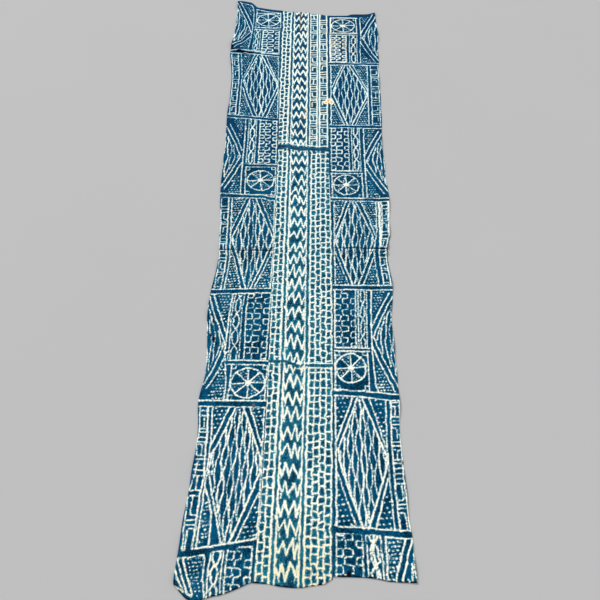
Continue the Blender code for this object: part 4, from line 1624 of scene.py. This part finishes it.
class NdopSizes(bpy.types.PropertyGroup):
    """Sizes of the cloth and its sewing."""

    thickness: length_property("Cloth thickness", "Thickness of the woven cloth", 1.5)
    grid_pitch: length_property("Grid pitch", "Distance between the points of a sheet", 2.5)
    stitch_pitch: length_property("Stitch pitch", "Distance between seam stitches", 7.0)
    stitch_length: length_property("Stitch length", "Length of a seam stitch", 4.6)


class NdopStage(bpy.types.PropertyGroup):
    """Floor and light."""

    floor_colour: FloatVectorProperty(
        name="Floor",
        description="Colour of the floor",
        default=screen_colour(175, 175, 175),
        subtype="COLOR",
    )
    key_power: strength_property("Key light", "Strength of the low soft light", 2.5)
    sky: strength_property("Sky light", "Strength of the light from all sides", 0.76)


class CLOTH_OT_left_strip(bpy.types.Operator):
    """Lay the left strip"""

    bl_idname = "ndop.left_strip"
    bl_label = "Left strip"

    def execute(self, context):
        lay_cloth(
            "cloth_strip_left",
            "strip_left",
            "indigo_cotton",
            "left",
            (LEFT_SELVEDGE, LEFT_SEAM),
            (NEAR_END_LEFT, FAR_END_LEFT),
            FOLDS_LEFT,
            WAVES_LEFT,
            (0.0, 0.0),
            left_chart(),
            (RUST_LEFT, SOIL_AND_SHADE_LEFT, (), ()),
            101,
        )
        return {"FINISHED"}


class CLOTH_OT_right_strip(bpy.types.Operator):
    """Lay the right strip"""

    bl_idname = "ndop.right_strip"
    bl_label = "Right strip"

    def execute(self, context):
        lay_cloth(
            "cloth_strip_right",
            "strip_right",
            "indigo_cotton",
            "right",
            (RIGHT_SEAM, RIGHT_SELVEDGE),
            (NEAR_END_RIGHT, FAR_END_RIGHT),
            FOLDS_RIGHT,
            WAVES_RIGHT,
            (0.0, 0.0),
            right_chart(),
            (RUST_RIGHT, SOIL_AND_SHADE_RIGHT, SPOT_RIGHT, WARM_RIGHT),
            202,
        )
        return {"FINISHED"}


class CLOTH_OT_centre_strip(bpy.types.Operator):
    """Lay the three pieces of the centre strip"""

    bl_idname = "ndop.centre_strip"
    bl_label = "Centre strip"

    def execute(self, context):
        half = PIECE_GAP / 2.0
        faded, pale = "faded_indigo_cotton", "pale_indigo_cotton"
        pieces = (
            ("near", faded, NEAR_END_CENTRE, JOIN_NEAR_MID, (0.0, half), centre_chart(), 303),
            ("mid", faded, JOIN_NEAR_MID, JOIN_MID_FAR, (half, half), centre_chart(), 404),
            ("far", pale, JOIN_MID_FAR, FAR_END_CENTRE, (half, 0.0), far_centre_chart(), 505),
        )
        for part, slot, near_end, far_end, gaps, chart, seed in pieces:
            lay_cloth(
                f"cloth_strip_centre_{part}",
                f"strip_centre_{part}",
                slot,
                "centre",
                (LEFT_SEAM, RIGHT_SEAM),
                (near_end, far_end),
                FOLDS_CENTRE,
                (),
                gaps,
                chart,
                (RUST_AND_WRINKLE_SHADE_CENTRE, SOIL_AND_SHADE_CENTRE, SPOT_CENTRE, WARM_CENTRE),
                seed,
            )
        return {"FINISHED"}


class CLOTH_OT_sewing(bpy.types.Operator):
    """Sew the seams and joins"""

    bl_idname = "ndop.sewing"
    bl_label = "Seams and joins"

    def execute(self, context):
        sizes = context.scene.ndop_sizes
        pitch, length = sizes.stitch_pitch / MM, sizes.stitch_length / MM
        indigo = (screen_colour(30, 84, 116), screen_colour(8, 40, 66))
        black = (screen_colour(26, 30, 38), screen_colour(8, 10, 14))
        pale = (screen_colour(196, 200, 190), screen_colour(120, 140, 146))
        sew("seam_left_stitches", seam_path(LEFT_SEAM, 34.0, 1860.0), pitch, length, 0.5, *indigo, 61)
        sew("seam_right_stitches", seam_path(RIGHT_SEAM, 44.0, 1838.0), pitch, length, 0.5, *indigo, 62)
        sew("seam_right_mend", seam_path(RIGHT_SEAM, 140.0, 575.0), 9.0, 6.0, 0.8, *black, 63, 0.75, 1.3)
        sew("join_near_stitches", join_path(JOIN_NEAR_MID), pitch, length, 0.45, *pale, 64)
        sew("join_far_stitches", join_path(JOIN_MID_FAR), pitch, length, 0.45, *pale, 65)
        return {"FINISHED"}


class CLOTH_OT_stage(bpy.types.Operator):
    """Set the floor, the light and the camera"""

    bl_idname = "ndop.stage"
    bl_label = "Floor, light and camera"

    def execute(self, context):
        stage = context.scene.ndop_stage
        floor_mesh = bmesh.new()
        bmesh.ops.create_grid(floor_mesh, x_segments=8, y_segments=8, size=FLOOR_HALF)
        mesh = bpy.data.meshes.new("floor")
        floor_mesh.to_mesh(mesh)
        floor_mesh.free()
        ground = Finish("floor_paper")
        grain = ground.noise(ground.node("ShaderNodeTexCoord", {}, {}, "Object"), 3.0, 3.0)
        colour = tuple(stage.floor_colour)
        paler = tuple(min(value * 1.03, 1.0) for value in colour)
        mesh.materials.append(ground.apply(Base_Color=ground.blend(grain, colour, paler), Roughness=0.9))
        floor = bpy.data.objects.new("floor", mesh)
        floor.location = (0.0, 0.0, -FLOOR_DROP)
        context.scene.collection.objects.link(floor)

        lamp = bpy.data.lights.new("soft_key", "SUN")
        lamp.energy = stage.key_power
        lamp.angle = math.radians(KEY_WIDTH)
        key = bpy.data.objects.new("soft_key", lamp)
        key.location = KEY_PLACE
        key.rotation_euler = (-key.location).to_track_quat("-Z", "Y").to_euler()
        context.scene.collection.objects.link(key)

        world = bpy.data.worlds.new("sky")
        world.use_nodes = True
        backdrop = world.node_tree.nodes["Background"]
        backdrop.inputs["Color"].default_value = (1.0, 1.0, 1.0, 1.0)
        backdrop.inputs["Strength"].default_value = stage.sky
        context.scene.world = world

        along = Vector((VANISHING_POINT[0] / FOCAL_PIXELS, VANISHING_POINT[1] / FOCAL_PIXELS, -1.0))
        along.normalize()
        tilt = math.atan2(VANISHING_POINT[1], FOCAL_PIXELS)
        up = Vector((0.0, math.cos(tilt), math.sin(tilt)))
        across = along.cross(up)
        eye = bpy.data.cameras.new("camera")
        eye.sensor_width = SENSOR
        eye.lens = SENSOR * FOCAL_PIXELS / PICTURE_PIXELS
        camera = bpy.data.objects.new("camera", eye)
        place = ((CAMERA_X - CENTRE_X) * MM, (CAMERA_ALONG - CENTRE_Y) * MM, CAMERA_HEIGHT)
        camera.matrix_world = Matrix.Translation(place) @ Matrix((across, along, up)).to_4x4()
        context.scene.collection.objects.link(camera)
        context.scene.camera = camera
        context.scene.view_settings.view_transform = "Standard"
        return {"FINISHED"}


class CLOTH_PT_panel(bpy.types.Panel):
    """Lists the pieces of the cloth and their sizes"""

    bl_idname = "CLOTH_PT_panel"
    bl_label = "Ndop Cloth"
    bl_space_type = "VIEW_3D"
    bl_region_type = "UI"
    bl_category = "Ndop Cloth"

    def draw(self, context):
        column = self.layout.column(align=True)
        for operator in OPERATORS:
            column.operator(operator.bl_idname)
        for group in (context.scene.ndop_sizes, context.scene.ndop_stage):
            box = self.layout.box()
            for name in group.bl_rna.properties.keys():
                if name not in ("rna_type", "name"):
                    box.prop(group, name)


OPERATORS = (
    CLOTH_OT_left_strip,
    CLOTH_OT_right_strip,
    CLOTH_OT_centre_strip,
    CLOTH_OT_sewing,
    CLOTH_OT_stage,
)
CLASSES = (NdopSizes, NdopStage, *OPERATORS, CLOTH_PT_panel)


def register():
    """Adds the operators, the panel and the properties."""
    for kind in CLASSES:
        bpy.utils.register_class(kind)
    bpy.types.Scene.ndop_sizes = PointerProperty(type=NdopSizes)
    bpy.types.Scene.ndop_stage = PointerProperty(type=NdopStage)


def unregister():
    """Takes them away again."""
    del bpy.types.Scene.ndop_stage
    del bpy.types.Scene.ndop_sizes
    for kind in reversed(CLASSES):
        bpy.utils.unregister_class(kind)


def main():
    """Makes every piece in order."""
    register()
    bpy.ops.ndop.left_strip()
    bpy.ops.ndop.right_strip()
    bpy.ops.ndop.centre_strip()
    bpy.ops.ndop.sewing()
    bpy.ops.ndop.stage()


if __name__ == "__main__":
    main()
